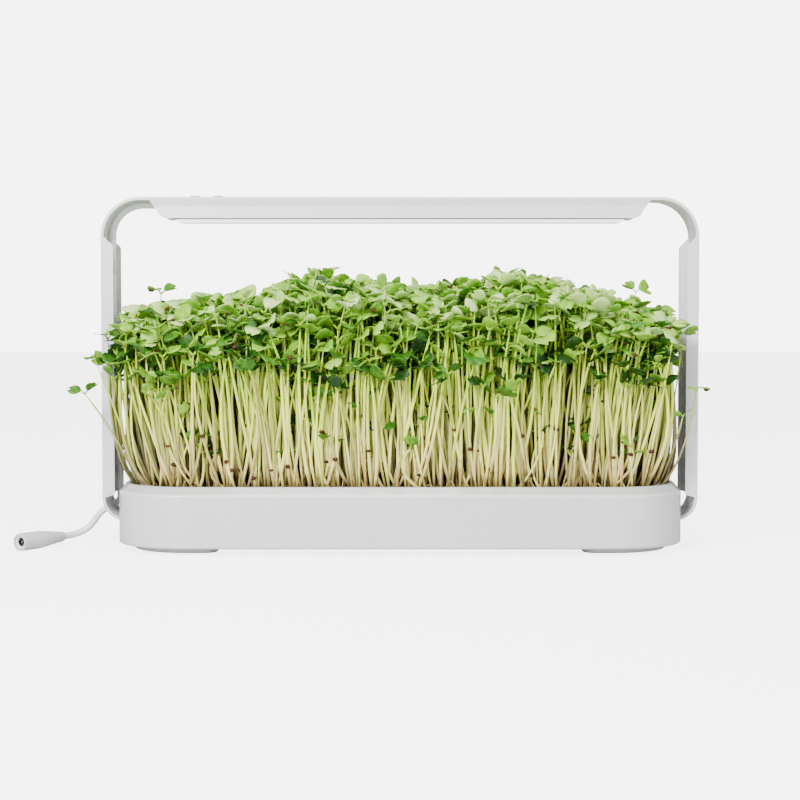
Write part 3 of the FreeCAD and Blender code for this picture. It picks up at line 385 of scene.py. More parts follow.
class Finish:
    """A node material that is built up step by step from patterns on object coordinates."""

    def __init__(self, name, color, roughness, **sockets):
        self.material = bpy.data.materials.new(name)
        self.material.use_nodes = True
        self.tree = self.material.node_tree
        self.nodes = self.tree.nodes
        self.links = self.tree.links
        self.shader = self.nodes["Principled BSDF"]
        self.shader.inputs["Base Color"].default_value = (*color, 1)
        self.shader.inputs["Roughness"].default_value = roughness
        for socket, value in sockets.items():
            self.shader.inputs[socket.replace("_", " ")].default_value = value
        self.color = color
        self.roughness = roughness
        self.place = self.nodes.new("ShaderNodeTexCoord").outputs["Object"]
        self.height = None

    def noise(self, scale, detail=3.0, stretch=None):
        """Cloudy pattern; scale is in cells per metre."""
        node = self.nodes.new("ShaderNodeTexNoise")
        node.inputs["Scale"].default_value = scale
        node.inputs["Detail"].default_value = detail
        place = self.place
        if stretch:
            mapping = self.nodes.new("ShaderNodeMapping")
            mapping.inputs["Scale"].default_value = stretch
            self.links.new(place, mapping.inputs["Vector"])
            place = mapping.outputs["Vector"]
        self.links.new(place, node.inputs["Vector"])
        return node.outputs["Fac"]

    def spread(self, value, low, high):
        """Map a pattern's middle range onto low to high."""
        return map_range(self.tree, value, *NOISE_RANGE, low, high).outputs["Result"]

    def ramp(self, value, *stops):
        """Colours blended over a value; each stop is (place, colour)."""
        node = self.nodes.new("ShaderNodeValToRGB")
        elements = node.color_ramp.elements
        while len(elements) < len(stops):
            elements.new(0.5)
        for element, (place, color) in zip(elements, stops):
            element.position = place
            element.color = (*color, 1)
        self.links.new(value, node.inputs["Fac"])
        return node.outputs["Color"]

    def tint(self, value, *stops):
        """Base colour from a ramp over a pattern."""
        self.links.new(self.ramp(value, *stops), self.shader.inputs["Base Color"])

    def point_number(self, name):
        """A number that the piece carries at each of its points."""
        node = self.nodes.new("ShaderNodeAttribute")
        node.attribute_name = name
        return node.outputs["Fac"]

    def tint_by_tone(self, scale, amount, *stops):
        """Base colour from a ramp over each point's tone, made lighter or darker by noise."""
        variation = self.spread(self.noise(scale), -amount, amount)
        self.tint(combine(self.tree, "ADD", self.point_number("tone"), variation), *stops)

    def mottle(self, scale, amount):
        """Small lighter and darker patches round the base colour."""
        dark = tuple(c * (1 - amount) for c in self.color)
        light = tuple(min(1.0, c * (1 + amount)) for c in self.color)
        self.tint(self.noise(scale), (0.35, dark), (0.65, light))
        return self

    def scale_color(self, factor):
        """Multiply the colour so far by a factor."""
        scaled = self.nodes.new("ShaderNodeVectorMath")
        scaled.operation = "SCALE"
        self.links.new(self.shader.inputs["Base Color"].links[0].from_socket, scaled.inputs["Vector"])
        self.links.new(factor, scaled.inputs["Scale"])
        self.links.new(scaled.outputs["Vector"], self.shader.inputs["Base Color"])
        return self

    def height_ramp(self, low, high, *stops):
        """Grey over the height above the table, from low to high; each stop is (place, level)."""
        height = self.nodes.new("ShaderNodeSeparateXYZ")
        self.links.new(self.place, height.inputs["Vector"])
        share = map_range(self.tree, height.outputs["Z"], low, high)
        return self.ramp(share.outputs["Result"], *((place, (level,) * 3) for place, level in stops))

    def sheen_marks(self, scale, amount):
        """Uneven roughness, as from handling."""
        marks = self.spread(self.noise(scale, 4.0), self.roughness - amount, self.roughness + amount)
        self.links.new(marks, self.shader.inputs["Roughness"])
        return self

    def grain(self, scale, depth, stretch=None, detail=2.0):
        """Fine relief from noise; depth is in metres."""
        bump = self.nodes.new("ShaderNodeBump")
        bump.inputs["Distance"].default_value = depth
        bump.inputs["Strength"].default_value = 1.0
        self.links.new(self.noise(scale, detail, stretch), bump.inputs["Height"])
        if self.height:
            self.links.new(self.height, bump.inputs["Normal"])
        self.height = bump.outputs["Normal"]
        self.links.new(self.height, self.shader.inputs["Normal"])
        return self


def powder_coat():
    """White powder coat on the hoop: satin, faintly uneven, with a fine orange-peel grain."""
    coat = Finish("powder_coat", (0.73, 0.735, 0.74), 0.38, Specular_IOR_Level=0.5)
    return coat.mottle(60, 0.012).sheen_marks(18, 0.05).grain(2600, 0.00003)


def stoneware_glaze():
    """White glaze of the bowl, glossier than the coat, with a painted highlight along its shoulder's edge
    and painted shade over the shoulder and lip above it.
    """
    glaze = Finish("stoneware_glaze", (0.78, 0.77, 0.765), 0.30, Coat_Weight=0.7, Coat_Roughness=0.12)
    glaze.mottle(38, 0.015).sheen_marks(22, 0.05).grain(420, 0.000012)
    # painted highlight and shade, by height over the shoulder and lip
    return glaze.scale_color(glaze.height_ramp(*BOWL_PAINTED_LIGHT))


def moulded(name, color, roughness=0.5):
    return Finish(name, color, roughness).mottle(90, 0.02).sheen_marks(40, 0.05).grain(1800, 0.00003)


def opal_cover():
    """Opal plastic, softly lit, with a painted shadow to nearly black where its walls go up behind the bar.
    """
    cover = Finish("opal_cover", (0.95, 0.95, 0.95), 0.35, Emission_Strength=1.8)
    # painted shadow near the top of its walls, on its colour and on its glow
    shade = cover.height_ramp(*DIFFUSER_PAINTED_SHADOW)
    cover.links.new(shade, cover.shader.inputs["Base Color"])
    cover.links.new(shade, cover.shader.inputs["Emission Color"])
    return cover.grain(1500, 0.00001)


def soft_rubber(name, color):
    return Finish(name, color, 0.7).mottle(120, 0.05).grain(2200, 0.00005)


def vinyl():
    jacket = Finish("soft_vinyl", (0.88, 0.88, 0.875), 0.3, Specular_IOR_Level=0.5)
    return jacket.mottle(70, 0.02).sheen_marks(60, 0.06).grain(900, 0.00003)


def plated(name, color, roughness=0.28):
    metal = Finish(name, color, roughness, Metallic=1.0)
    return metal.mottle(200, 0.04).sheen_marks(300, 0.08).grain(3000, 0.00001)


def drawn_aluminium():
    metal = Finish("drawn_aluminium", (0.75, 0.76, 0.78), 0.36, Metallic=1.0)
    return metal.sheen_marks(50, 0.06).grain(500, 0.00003, stretch=(0.05, 1, 1))


def felt():
    """Brown coir felt: long tangled fibres, light on dark."""
    mat = Finish("coir_felt", (0.20, 0.14, 0.08), 0.95, Sheen_Weight=0.2)
    mat.tint(mat.noise(700, 6.0, stretch=(0.5, 1, 1.6)),
             (0.30, (0.05, 0.032, 0.016)), (0.52, (0.19, 0.13, 0.07)), (0.72, (0.42, 0.33, 0.20)))
    return mat.grain(900, 0.0009, stretch=(0.4, 1, 1.4), detail=5.0).grain(260, 0.0012)


def stem_skin():
    """Cress stem: tan at the foot, pale half way and green at the top; painted shade where it has little
    light inside the crop, and some stems duller and some brighter at random.
    """
    skin = Finish("cress_stem", (0.8, 0.8, 0.5), 0.38, Subsurface_Weight=0.15, Subsurface_Scale=0.0012)
    skin.shader.inputs["Subsurface Radius"].default_value = (0.9, 1.0, 0.4)
    skin.tint_by_tone(260, 0.07,
                      (0.00, (0.50, 0.38, 0.13)), (0.12, (0.76, 0.69, 0.25)), (0.38, (0.72, 0.80, 0.12)),
                      (0.66, (0.40, 0.60, 0.032)), (0.98, (0.14, 0.36, 0.010)))
    # painted shade inside the crop, and the random dullness of single stems, scale the colour down
    skin.scale_color(combine(skin.tree, "SUBTRACT", 1.0, skin.point_number("gloom")))
    return skin.grain(1200, 0.00008, stretch=(1, 1, 0.15))


def leaf_skin():
    """Cress leaf: painted shade, dark green, deep in the crop, to painted light and sheen, pale green, on
    top.
    """
    skin = Finish("cress_leaf", (0.12, 0.32, 0.03), 0.48, Specular_IOR_Level=0.3,
                  Subsurface_Weight=0.2, Subsurface_Scale=0.0015)
    skin.shader.inputs["Subsurface Radius"].default_value = (0.5, 1.0, 0.2)
    skin.tint_by_tone(340, 0.10,
                      (0.02, (0.006, 0.034, 0.002)), (0.24, (0.040, 0.160, 0.006)),
                      (0.48, (0.22, 0.45, 0.018)), (0.70, (0.32, 0.56, 0.075)), (1.0, (0.50, 0.68, 0.24)))
    return skin.grain(900, 0.00025, detail=3.0)


def husk_skin():
    husk = Finish("seed_husk", (0.05, 0.018, 0.008), 0.6, Specular_IOR_Level=0.25)
    husk.tint(husk.noise(900, 4.0), (0.35, (0.018, 0.006, 0.003)), (0.65, (0.11, 0.036, 0.012)))
    return husk.grain(2500, 0.0002)


def dress(material, *nodes):
    """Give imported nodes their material, in every slot that they have."""
    for name in nodes:
        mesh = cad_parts[name].data
        mesh.materials.clear()
        mesh.materials.append(material)


def dress_nodes():
    dress(powder_coat().material, "frame_hoop")
    dress(stoneware_glaze().material, "bowl")
    dress(moulded("foot_plastic_finish", (0.74, 0.74, 0.74)).material, "foot_left", "foot_right")
    dress(soft_rubber("pad_rubber", (0.35, 0.35, 0.36)).material, "foot_pads")
    dress(soft_rubber("clear_silicone", (0.75, 0.75, 0.75)).material, "bowl_bumpers")
    dress(plated("machined_brass", (0.75, 0.55, 0.24)).material, "foot_inserts")
    dress(plated("zinc_plate", (0.62, 0.63, 0.65)).material,
          "foot_screws", "lamp_nuts", "lamp_screws", "board_screws")
    dress(drawn_aluminium().material, "lamp_heat_sink")
    dress(moulded("board_white", (0.85, 0.85, 0.82), 0.35).material, "led_board")
    dress(moulded("phosphor_cover", (0.85, 0.72, 0.25), 0.2).material, "led_chips")
    dress(opal_cover().material, "lamp_diffuser")
    dress(moulded("white_moulding", (0.80, 0.80, 0.79)).material,
          "lamp_cap_right", "lamp_cap_left", "board_spacers", "board_link", "lead_clips")
    dress(moulded("core_white", (0.93, 0.93, 0.93), 0.3).material, "socket_insert")
    dress(moulded("board_green", (0.03, 0.16, 0.07), 0.35).material, "control_board")
    dress(moulded("black_moulding", (0.02, 0.02, 0.02)).material,
          "lead_terminal", "switch_power", "switch_timer")
    dress(moulded("button_satin", (0.26, 0.26, 0.27), 0.35).material, "button_power", "button_timer")
    dress(vinyl().material, "held_lead", "exit_grommet")
    dress(moulded("socket_vinyl", (0.60, 0.60, 0.605), 0.34).material, "socket_shell")
    dress(plated("contact_plate", (0.78, 0.78, 0.78), 0.2).material, "socket_barrel")
    dress(plated("pin_plate", (0.20, 0.20, 0.21), 0.25).material, "socket_pin")
    dress(moulded("tray_moulding", (0.55, 0.55, 0.54)).material, "seed_tray")


def make_piece(name, points, quads, body, slot, material, **numbers):
    """Mesh object from an array of points, an array of four-sided faces and named numbers per point."""
    mesh = bpy.data.meshes.new(name)
    mesh.vertices.add(len(points))
    mesh.vertices.foreach_set("co", points.astype(np.float32).ravel())
    mesh.loops.add(quads.size)
    mesh.loops.foreach_set("vertex_index", quads.astype(np.int32).ravel())
    mesh.polygons.add(len(quads))
    mesh.polygons.foreach_set("loop_start", np.arange(0, quads.size, 4, dtype=np.int32))
    mesh.polygons.foreach_set("use_smooth", np.full(len(quads), True))
    for label, values in numbers.items():
        attribute = mesh.attributes.new(label, "FLOAT", "POINT")
        attribute.data.foreach_set("value", values.astype(np.float32).ravel())
    mesh.update(calc_edges=True)
    mesh.validate()
    mesh.materials.append(material)
    piece = bpy.data.objects.new(name, mesh)
    bpy.context.collection.objects.link(piece)
    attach(piece, body)
    return piece


def copies(quads, points_each, count):
    """The faces of one shape, repeated for count shapes whose points follow each other."""
    shift = np.arange(count)[:, None, None] * points_each
    return (quads[None] + shift).reshape(-1, 4)


def tube_faces(rings, sides):
    """Faces of a tube of rings x sides points; each end, of an even number of sides, is closed by a fan
    of four-sided faces from its first point."""
    ring, side = np.meshgrid(np.arange(rings - 1), np.arange(sides), indexing="ij")
    after = (side + 1) % sides
    quads = np.stack([ring * sides + side, ring * sides + after,
                      (ring + 1) * sides + after, (ring + 1) * sides + side], -1)
    step = np.arange(1, sides - 1, 2)
    fan = np.stack([0 * step, step, step + 1, step + 2], -1)
    return np.concatenate([quads.reshape(-1, 4), fan[:, ::-1], fan + (rings - 1) * sides])


def shell_faces(rows, columns):
    """Faces of a thin closed shell of two layers of rows x columns points: the upper layer's grid, the
    lower layer's turned over, and a rim between their edges."""
    row, column = np.meshgrid(np.arange(rows - 1), np.arange(columns - 1), indexing="ij")
    first = (row * columns + column).ravel()
    upper = np.stack([first, first + columns, first + columns + 1, first + 1], -1)
    layer = rows * columns
    grid = np.arange(layer).reshape(rows, columns)
    rim = np.concatenate([grid[0, :], grid[1:, -1], grid[-1, -2::-1], grid[-2:0:-1, 0]])
    after = np.roll(rim, -1)
    edge = np.stack([rim, after, after + layer, rim + layer], -1)
    return np.concatenate([upper, upper[:, ::-1] + layer, edge])


def stem_points(base, control, top, radius, rings, sides):
    """Bent tapered tubes: each follows the quadratic curve base, control, top, and its ring of points
    turns in the plane square to the curve. Both ends are drawn in to a small flat tip."""
    t = np.linspace(0, 1, rings)[None, :, None]
    line = (1 - t) ** 2 * base[:, None] + 2 * t * (1 - t) * control[:, None] + t ** 2 * top[:, None]
    along = 2 * (1 - t) * (control - base)[:, None] + 2 * t * (top - control)[:, None]
    along /= np.linalg.norm(along, axis=-1, keepdims=True)
    side = np.cross(along, np.array([0.0, 1.0, 0.0]))
    side /= np.linalg.norm(side, axis=-1, keepdims=True)
    other = np.cross(along, side)
    turn = 2 * np.pi * np.arange(sides) / sides
    taper = np.interp(np.linspace(0, 1, rings), *STEM_TAPER)
    size = radius[:, None, None, None] * taper[None, :, None, None]
    ring = side[:, :, None] * np.cos(turn)[:, None] + other[:, :, None] * np.sin(turn)[:, None]
    return line[:, :, None] + size * ring


def canopy_height(x, y):
    """Height of the leaf tops in metres: broad swells, falling off at both ends and sides, and a ripple."""
    swell = sum(high * np.exp(-((x - middle) / half) ** 2) for middle, half, high in CANOPY_SWELLS)
    fall = CANOPY_END_DROP * (x / CANOPY_HALF_LENGTH) ** 4 + CANOPY_SIDE_DROP * (y / CANOPY_HALF_DEPTH) ** 2
    ripple = RIPPLE_HEIGHT * np.sin(RIPPLE_RATE_X * x) * np.cos(RIPPLE_RATE_Y * y)
    return np.minimum(CROP_TOP, CANOPY_BASE + swell - fall + ripple)


def leaf_floor(x):
    """Height of the leaf zone's lower edge in metres: level, with waves along the bowl."""
    level = LEAF_ZONE
    for high, rate, start in LEAF_ZONE_WAVES:
        level = level + high * np.sin(rate * x + start)
    return level


def clear_of_posts(x, y, clear_x, clear_y, reach):
    """Hold points off the posts: between them up to clear_x, in front of or behind them within reach."""
    between = np.abs(y) < clear_y
    return np.clip(x, np.where(between, -clear_x, reach[0]), np.where(between, clear_x, reach[1]))


def mat_inset(x):
    """Share of the mat's full width that is left at x, where its ends are rounded."""
    past = np.clip((np.abs(x) - INSET_FROM) / INSET_RUN, 0, 1)
    return 1 - INSET_LOSS * past ** 2


def standing(x, y, depth):
    """Points that stand at x and y, all of them a depth below the mat's top."""
    return np.stack([x, y, np.full(len(x), MAT_TOP - depth)], -1)


def sow(rng, low_x, high_x, count):
    """Where each sprout stands and where its leaves are: bases spread over the mat, tops fanned out.
    A sprout is as tall as the canopy over it less a random depth, down to an uneven lower edge."""
    base_x = rng.uniform(low_x - SOWN_OVERLAP, high_x + SOWN_OVERLAP, count)
    base_x = np.clip(base_x, -SOWN_HALF_LENGTH, SOWN_HALF_LENGTH)
    base_y = rng.uniform(-SOWN_HALF_DEPTH, SOWN_HALF_DEPTH, count) * mat_inset(base_x)
    end = np.clip((np.abs(base_x) - FLARE_FROM) / FLARE_RUN, 0, 1)
    top_x = base_x * (FAN_X + FLARE_X * end) + rng.normal(0, TOP_SCATTER_X, count)
    wayward = rng.random(count) < WAYWARD_SHARE
    top_x += wayward * rng.choice((-1, 1), count) * rng.uniform(*WAYWARD_REACH, count)
    top_y = base_y * FAN_Y + rng.normal(0, TOP_SCATTER_Y, count)
    edge = np.abs(base_y) > EDGE_ROWS_FROM
    depth = np.where(edge, rng.random(count) ** EDGE_DEPTH_POWER, rng.random(count) ** INNER_DEPTH_POWER)
    ceiling = canopy_height(top_x, top_y) + rng.normal(0, CANOPY_SCATTER, count)
    floor = leaf_floor(top_x) + rng.normal(0, LEAF_ZONE_SCATTER, count)
    height = np.minimum(ceiling - depth * (ceiling - floor), CROP_TOP - LEAF_HEADROOM)
    # lower sprouts at the edge lean outwards, where there is light
    lean = (LEAN_LEAST + depth) * rng.uniform(0, LEAN_MOST, count)
    top_y += np.sign(base_y) * lean * np.clip(np.abs(base_y) / LEAN_FULL_AT, 0, 1) ** 2
    top_y = np.clip(top_y, -CANOPY_REACH_Y, CANOPY_REACH_Y)
    top_x = clear_of_posts(top_x, top_y, LEAF_CLEAR_X, LEAF_CLEAR_Y, CANOPY_REACH_X)
    return standing(base_x, base_y, STEM_SUNK), np.stack([top_x, top_y, height], -1), 1 - depth


def sow_low(rng, low_x, high_x, count):
    """Short sprouts among the stems, along the front and back."""
    base_x = rng.uniform(low_x + LOW_SPROUT_MARGIN, high_x - LOW_SPROUT_MARGIN, count)
    side = rng.choice((-1, 1), count)
    base_y = side * rng.uniform(*LOW_SPROUT_ROWS, count) * mat_inset(base_x)
    top_x = base_x * LOW_FAN_X + rng.normal(0, LOW_SCATTER_X, count)
    top_x = np.clip(top_x, -LOW_REACH_X, LOW_REACH_X)
    top_y = base_y + side * rng.uniform(*LOW_LEAN, count)
    height = rng.uniform(*LOW_SPROUT_HEIGHTS, count)
    return standing(base_x, base_y, STEM_SUNK), np.stack([top_x, top_y, height], -1)


def strew_fibres(rng, low_x, high_x, count):
    """Fine pale roots that arch over the mat between the stems: start, middle control point and end."""
    start_x = rng.uniform(low_x + FIBRE_MARGIN, high_x - FIBRE_MARGIN, count)
    start_y = rng.uniform(-FIBRE_START_Y, FIBRE_START_Y, count) * mat_inset(start_x)
    turn = rng.uniform(0, 2 * np.pi, count)
    reach = rng.uniform(*FIBRE_REACH, count)
    start = standing(start_x, start_y, FIBRE_SUNK)
    way = np.stack([np.cos(turn), np.sin(turn) * FIBRE_FLATTEN_Y, 0 * turn], -1) * reach[:, None]
    end = start + way
    end[:, 0] = np.clip(end[:, 0], -FIBRE_LIMIT_X, FIBRE_LIMIT_X)
    end[:, 1] = np.clip(end[:, 1], -FIBRE_LIMIT_Y, FIBRE_LIMIT_Y)
    middle = (start + end) / 2
    middle[:, 2] += rng.uniform(*FIBRE_ARCH, count)
    return start, middle, end


def stem_bends(rng, base, top):
    """Middle control point of each stem: about half way up, pushed sideways at random and bowed outwards.
    Near the bowl's ends it is lower, steadier, and bows further out."""
    count = len(base)
    bend = base * 0.5 + top * 0.5
    end = np.clip((np.abs(base[:, 0]) - BOW_FROM) / BOW_RUN, 0, 1)
    rise = (top[:, 2] - base[:, 2]) * rng.uniform(*BEND_SHARE, count)
    bend[:, 2] = base[:, 2] + rise * (1 - BOW_LOWER * end)
    push = rng.normal(0, BEND_SCATTER_X, count) * (1 - BOW_STEADIER * end)
    bend[:, 0] += push + np.sign(base[:, 0]) * BOW_OUT * end
    bend[:, 1] += rng.normal(0, BEND_SCATTER_Y, count)
    bend[:, 1] = np.clip(bend[:, 1], -BEND_REACH_Y, BEND_REACH_Y)
    bend[:, 0] = clear_of_posts(bend[:, 0], bend[:, 1], POST_CLEAR_X, POST_CLEAR_Y, STEM_REACH_X)
    return bend


def leaf_points(tip, azimuth, rise, roll, size, fold):
    """Seed leaves: a blade grid of rows along it and columns across it. Its outline is the sine of the way
    along to a small power, its end is drawn in at the middle to a heart, and it droops towards the end.
    It folds along its middle, rolls about it, rises from level, and turns to its azimuth.
    A second layer just under the first makes it a closed thin shell."""
    count = len(tip)
    along = np.linspace(0, 1, LEAF_ROWS)[:, None]
    across = np.linspace(-1, 1, LEAF_COLUMNS)[None, :]
    reach = 1 - LEAF_NOTCH * np.exp(-(across / LEAF_NOTCH_WIDTH) ** 2) - LEAF_SHOULDER * across ** 4
    start, span, lengthen, blunt = LEAF_OUTLINE
    outline = np.sin(np.pi * (start + span * along ** lengthen)) ** blunt
    u = (along * reach)[None] * size[:, None, None] * LEAF_LENGTH
    v = (across * outline)[None] * size[:, None, None] * LEAF_HALF_WIDTH
    droop = -LEAF_DROOP * u ** 2 / LEAF_LENGTH + fold[:, None, None] * np.abs(v)
    shape = np.stack([u, v, droop], -1)
    under = shape + np.array([0.0, 0.0, -LEAF_SHEET])
    shape = np.concatenate([shape.reshape(count, -1, 3), under.reshape(count, -1, 3)], 1)
    ca, sa = np.cos(azimuth)[:, None], np.sin(azimuth)[:, None]
    cr, sr = np.cos(rise)[:, None], np.sin(rise)[:, None]
    co, so = np.cos(roll)[:, None], np.sin(roll)[:, None]
    y = shape[..., 1] * co - shape[..., 2] * so
    lift = shape[..., 1] * so + shape[..., 2] * co
    x = shape[..., 0] * cr - lift * sr
    z = shape[..., 0] * sr + lift * cr
    return tip[:, None] + np.stack([x * ca - y * sa, x * sa + y * ca, z], -1)


def grow_leaves(rng, place, top, radius, size, azimuth, light, stems, leaves):
    """Two leaves on short stalks from the top of each stem; light runs from 0 in the shade to 1 on top."""
    count = len(top)
    blades, tones, tips = [], [], []
    for side in (0, 1):
        turn = azimuth + side * np.pi + rng.normal(0, LEAF_TURN_SPREAD, count)
        rise = rng.uniform(*LEAF_RISE, count) + SHADE_RISE * (light < SHADE_LIGHT)
        way = np.stack([np.cos(turn), np.sin(turn), STALK_STEEP + 0 * turn], -1)
        stalk = STALK_LENGTH * way * size[:, None]
        blade_size = size * rng.uniform(*LEAF_SIZES, count)
        blade = leaf_points(top + stalk, turn, rise, rng.normal(0, LEAF_ROLL_SPREAD, count), blade_size,
                            rng.uniform(*LEAF_FOLD, count))
        # painted light: leaves darker in the crop's shade and lighter on top, some with a painted sheen
        shade = SHADE_TONE + LIGHT_TONE * light + rng.normal(0, TONE_SPREAD, count)
        shade = shade + PAINTED_SHEEN_TONE * (rng.random(count) < PAINTED_SHEEN_SHARE) * light
        blades.append(blade)
        tones.append(np.repeat(shade[:, None], blade.shape[1], 1))
        tips.append(blade[:, LEAF_ROWS * LEAF_COLUMNS - 1 - LEAF_COLUMNS // 2])
        stalks = stem_points(top - np.array([0, 0, STALK_SUNK]), top + stalk * STALK_BEND_AT,
                             top + stalk * STALK_OVERLAP, radius * STALK_WIDTH, STALK_RINGS, STALK_SIDES)
        make_piece("stalks_%s_%d" % (place, side), stalks.reshape(-1, 3),
                   copies(tube_faces(STALK_RINGS, STALK_SIDES), STALK_RINGS * STALK_SIDES, count),
                   "tray", "cress", stems, tone=np.full(stalks.shape[:-1], STALK_TONE))
    blades = np.concatenate(blades)
    make_piece("leaves_" + place, blades.reshape(-1, 3),
               copies(shell_faces(LEAF_ROWS, LEAF_COLUMNS), 2 * LEAF_ROWS * LEAF_COLUMNS, 2 * count),
               "tray", "cress", leaves, tone=np.concatenate(tones))
    return np.concatenate(tips)


def stem_looks(rng, points):
    """Tone and darkening of each point of the stems. Tone is its height, a little off for each stem. The
    darkening is painted shade deep inside the crop, fading to the front, back and leaf zone; outside, some
    stems are duller and some are brighter than the rest, picked at random."""
    tone = (points[..., 2] - MAT_TOP) / (CROP_TOP - MAT_TOP)
    tone = tone + rng.normal(0, STEM_TONE_SPREAD, len(points))[:, None, None]
    # painted shade, deep inside the crop and below the leaves
    inside = np.clip((PAINTED_SHADE_HALF_DEPTH - np.abs(points[..., 1])) / PAINTED_SHADE_FADE_Y, 0, 1)
    inside = inside * np.clip((PAINTED_SHADE_TOP - points[..., 2]) / PAINTED_SHADE_FADE_Z, 0, 1)
    pick = rng.random(len(points))[:, None, None]
    uneven = DULL_STEM_DARKENING * (pick < DULL_BELOW) - BRIGHT_STEM_LIGHTENING * (pick > BRIGHT_ABOVE)
    return tone, INNER_PAINTED_SHADE * inside + (1 - inside) * uneven


def grow_stems(rng, place, base, bend, top, radius, fibres, stems):
    """Stems and root fibres of one mat as one piece, which takes the place of the crop's solid."""
    points = np.concatenate([
        stem_points(base, bend, top, radius, STEM_RINGS, STEM_SIDES),
        stem_points(*fibres, rng.uniform(*FIBRE_RADIUS, FIBRES_PER_MAT), STEM_RINGS, STEM_SIDES)])
    tone, gloom = stem_looks(rng, points)
    piece = make_piece("stems_" + place, points.reshape(-1, 3),
                       copies(tube_faces(STEM_RINGS, STEM_SIDES), STEM_RINGS * STEM_SIDES, len(points)),
                       "tray", "cress", stems, tone=tone, gloom=gloom)
    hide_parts("crop_" + place)


def caught_husks(rng, base, bend, top):
    """Places of the husks that hang on some stems near the front, part of the way up."""
    front = np.flatnonzero((base[:, 1] < CAUGHT_FRONT_Y) & (top[:, 2] > CAUGHT_TOP_ABOVE))[::CAUGHT_EVERY]
    up = rng.uniform(*CAUGHT_HEIGHTS, len(front))[:, None]
    caught = (1 - up) ** 2 * base[front] + 2 * up * (1 - up) * bend[front] + up ** 2 * top[front]
    caught[:, 1] -= CAUGHT_OUT
    return caught


def grow_crop(place, low_x, high_x, stems, leaves):
    """One mat's crop: stems and root fibres as one piece, leaf pairs and their stalks as others.
    Gives back where seed husks still cling: to some leaf tips and to some stems near the front."""
    rng = np.random.default_rng(CROP_DRAW + MATS.index(place))
    base, top, light = sow(rng, low_x, high_x, SPROUTS_PER_MAT)
    low_base, low_top = sow_low(rng, low_x, high_x, LOW_SPROUTS_PER_MAT)
    strays = [s for s in STRAYS if low_x <= s[0][0] <= high_x]
    stray_base, stray_bend, stray_top = (np.array([s[i] for s in strays]).reshape(-1, 3) for i in range(3))
    bend = np.concatenate([stem_bends(rng, base, top), stem_bends(rng, low_base, low_top), stray_bend])
    base = np.concatenate([base, low_base, stray_base])
    top = np.concatenate([top, low_top, stray_top])
    light = np.concatenate([light, np.full(len(low_top), LOW_LIGHT), np.full(len(strays), STRAY_LIGHT)])
    count = len(base)
    first_stray = count - len(strays)
    radius = STEM_RADIUS * rng.uniform(*STEM_SIZES, count)
    radius[first_stray:] *= STRAY_WIDTH
    fibres = strew_fibres(rng, low_x, high_x, FIBRES_PER_MAT)
    grow_stems(rng, place, base, bend, top, radius, fibres, stems)
    size = np.concatenate([rng.uniform(*SPROUT_SIZES, SPROUTS_PER_MAT),
                           rng.uniform(*LOW_SPROUT_SIZES, len(low_top)), np.array([s[3] for s in strays])])
    azimuth = rng.uniform(0, 2 * np.pi, count)
    azimuth[first_stray:] = [s[4] for s in strays]
    tips = grow_leaves(rng, place, top, radius, size, azimuth, light, stems, leaves)
    husked = rng.random(len(tips)) < HUSK_SHARE
    husked[first_stray:count] = [s[5] for s in strays]
    return np.concatenate([tips[husked], caught_husks(rng, base, bend, top)])


def seed_points(centre, size, rng):
    """Small ovals: rings of points on a sphere, drawn out along X, each turned at random."""
    polar = np.linspace(np.pi - SEED_POLE, SEED_POLE, SEED_RINGS)[:, None]
    around = 2 * np.pi * np.arange(SEED_SIDES)[None] / SEED_SIDES
    ball = np.stack([np.cos(polar) + 0 * around, np.sin(polar) * np.cos(around) * SEED_WIDTH,
                     np.sin(polar) * np.sin(around) * SEED_HEIGHT], -1).reshape(-1, 3)
    turn = rng.uniform(0, 2 * np.pi, len(centre))
    c, s = np.cos(turn)[:, None], np.sin(turn)[:, None]
    x = ball[None, :, 0] * c - ball[None, :, 1] * s
    y = ball[None, :, 0] * s + ball[None, :, 1] * c
    z = np.broadcast_to(ball[None, :, 2], x.shape)
    return centre[:, None] + size[:, None, None] * np.stack([x, y, z], -1)


def scatter_seeds(clinging, material):
    """Seeds left on the mats, and husks that cling to leaves and stems."""
    rng = np.random.default_rng(SEED_DRAW)
    x = rng.uniform(-SEED_REACH_X, SEED_REACH_X, SEEDS)
    y = rng.uniform(-SEED_REACH_Y, SEED_REACH_Y, SEEDS)
    centre = np.stack([x, y, MAT_TOP + rng.uniform(*SEED_LIFT, SEEDS)], -1)
    centre[:, 1] *= mat_inset(centre[:, 0])
    size = np.concatenate([rng.uniform(*SEED_SIZES, SEEDS), rng.uniform(*HUSK_SIZES, len(clinging))])
    centre = np.concatenate([centre, clinging])
    points = seed_points(centre, size, rng)
    make_piece("seeds", points.reshape(-1, 3),
               copies(tube_faces(SEED_RINGS, SEED_SIDES), SEED_RINGS * SEED_SIDES, len(centre)),
               "tray", "felt_mat", material)


def felt_relief(x, y):
    """Height of the felt over its level in metres: fine crossed waves and slanting ones, and broad lumps."""
    rough = (np.sin(x * 2900) * np.cos(y * 3300) + np.sin(x * 1500 + y * 1900)) * FELT_ROUGH
    rough += FELT_LUMPS * np.sin(x * 310 + 1.7) * np.cos(y * 270)
    return rough


def mat_curl(x, y):
    """How far the mats lift off the tray in metres: the left end a little, the right front corner most.
    Each is the square of the share of the way over the curl's run."""
    curl = LEFT_CURL * np.clip((-x - LEFT_CURL_FROM) / LEFT_CURL_RUN, 0, 1) ** 2
    corner = np.exp(-((y - RIGHT_CURL_Y) / RIGHT_CURL_WIDTH) ** 2)
    curl += RIGHT_CURL * np.clip((x - RIGHT_CURL_FROM) / RIGHT_CURL_RUN, 0, 1) ** 2 * corner
    return curl


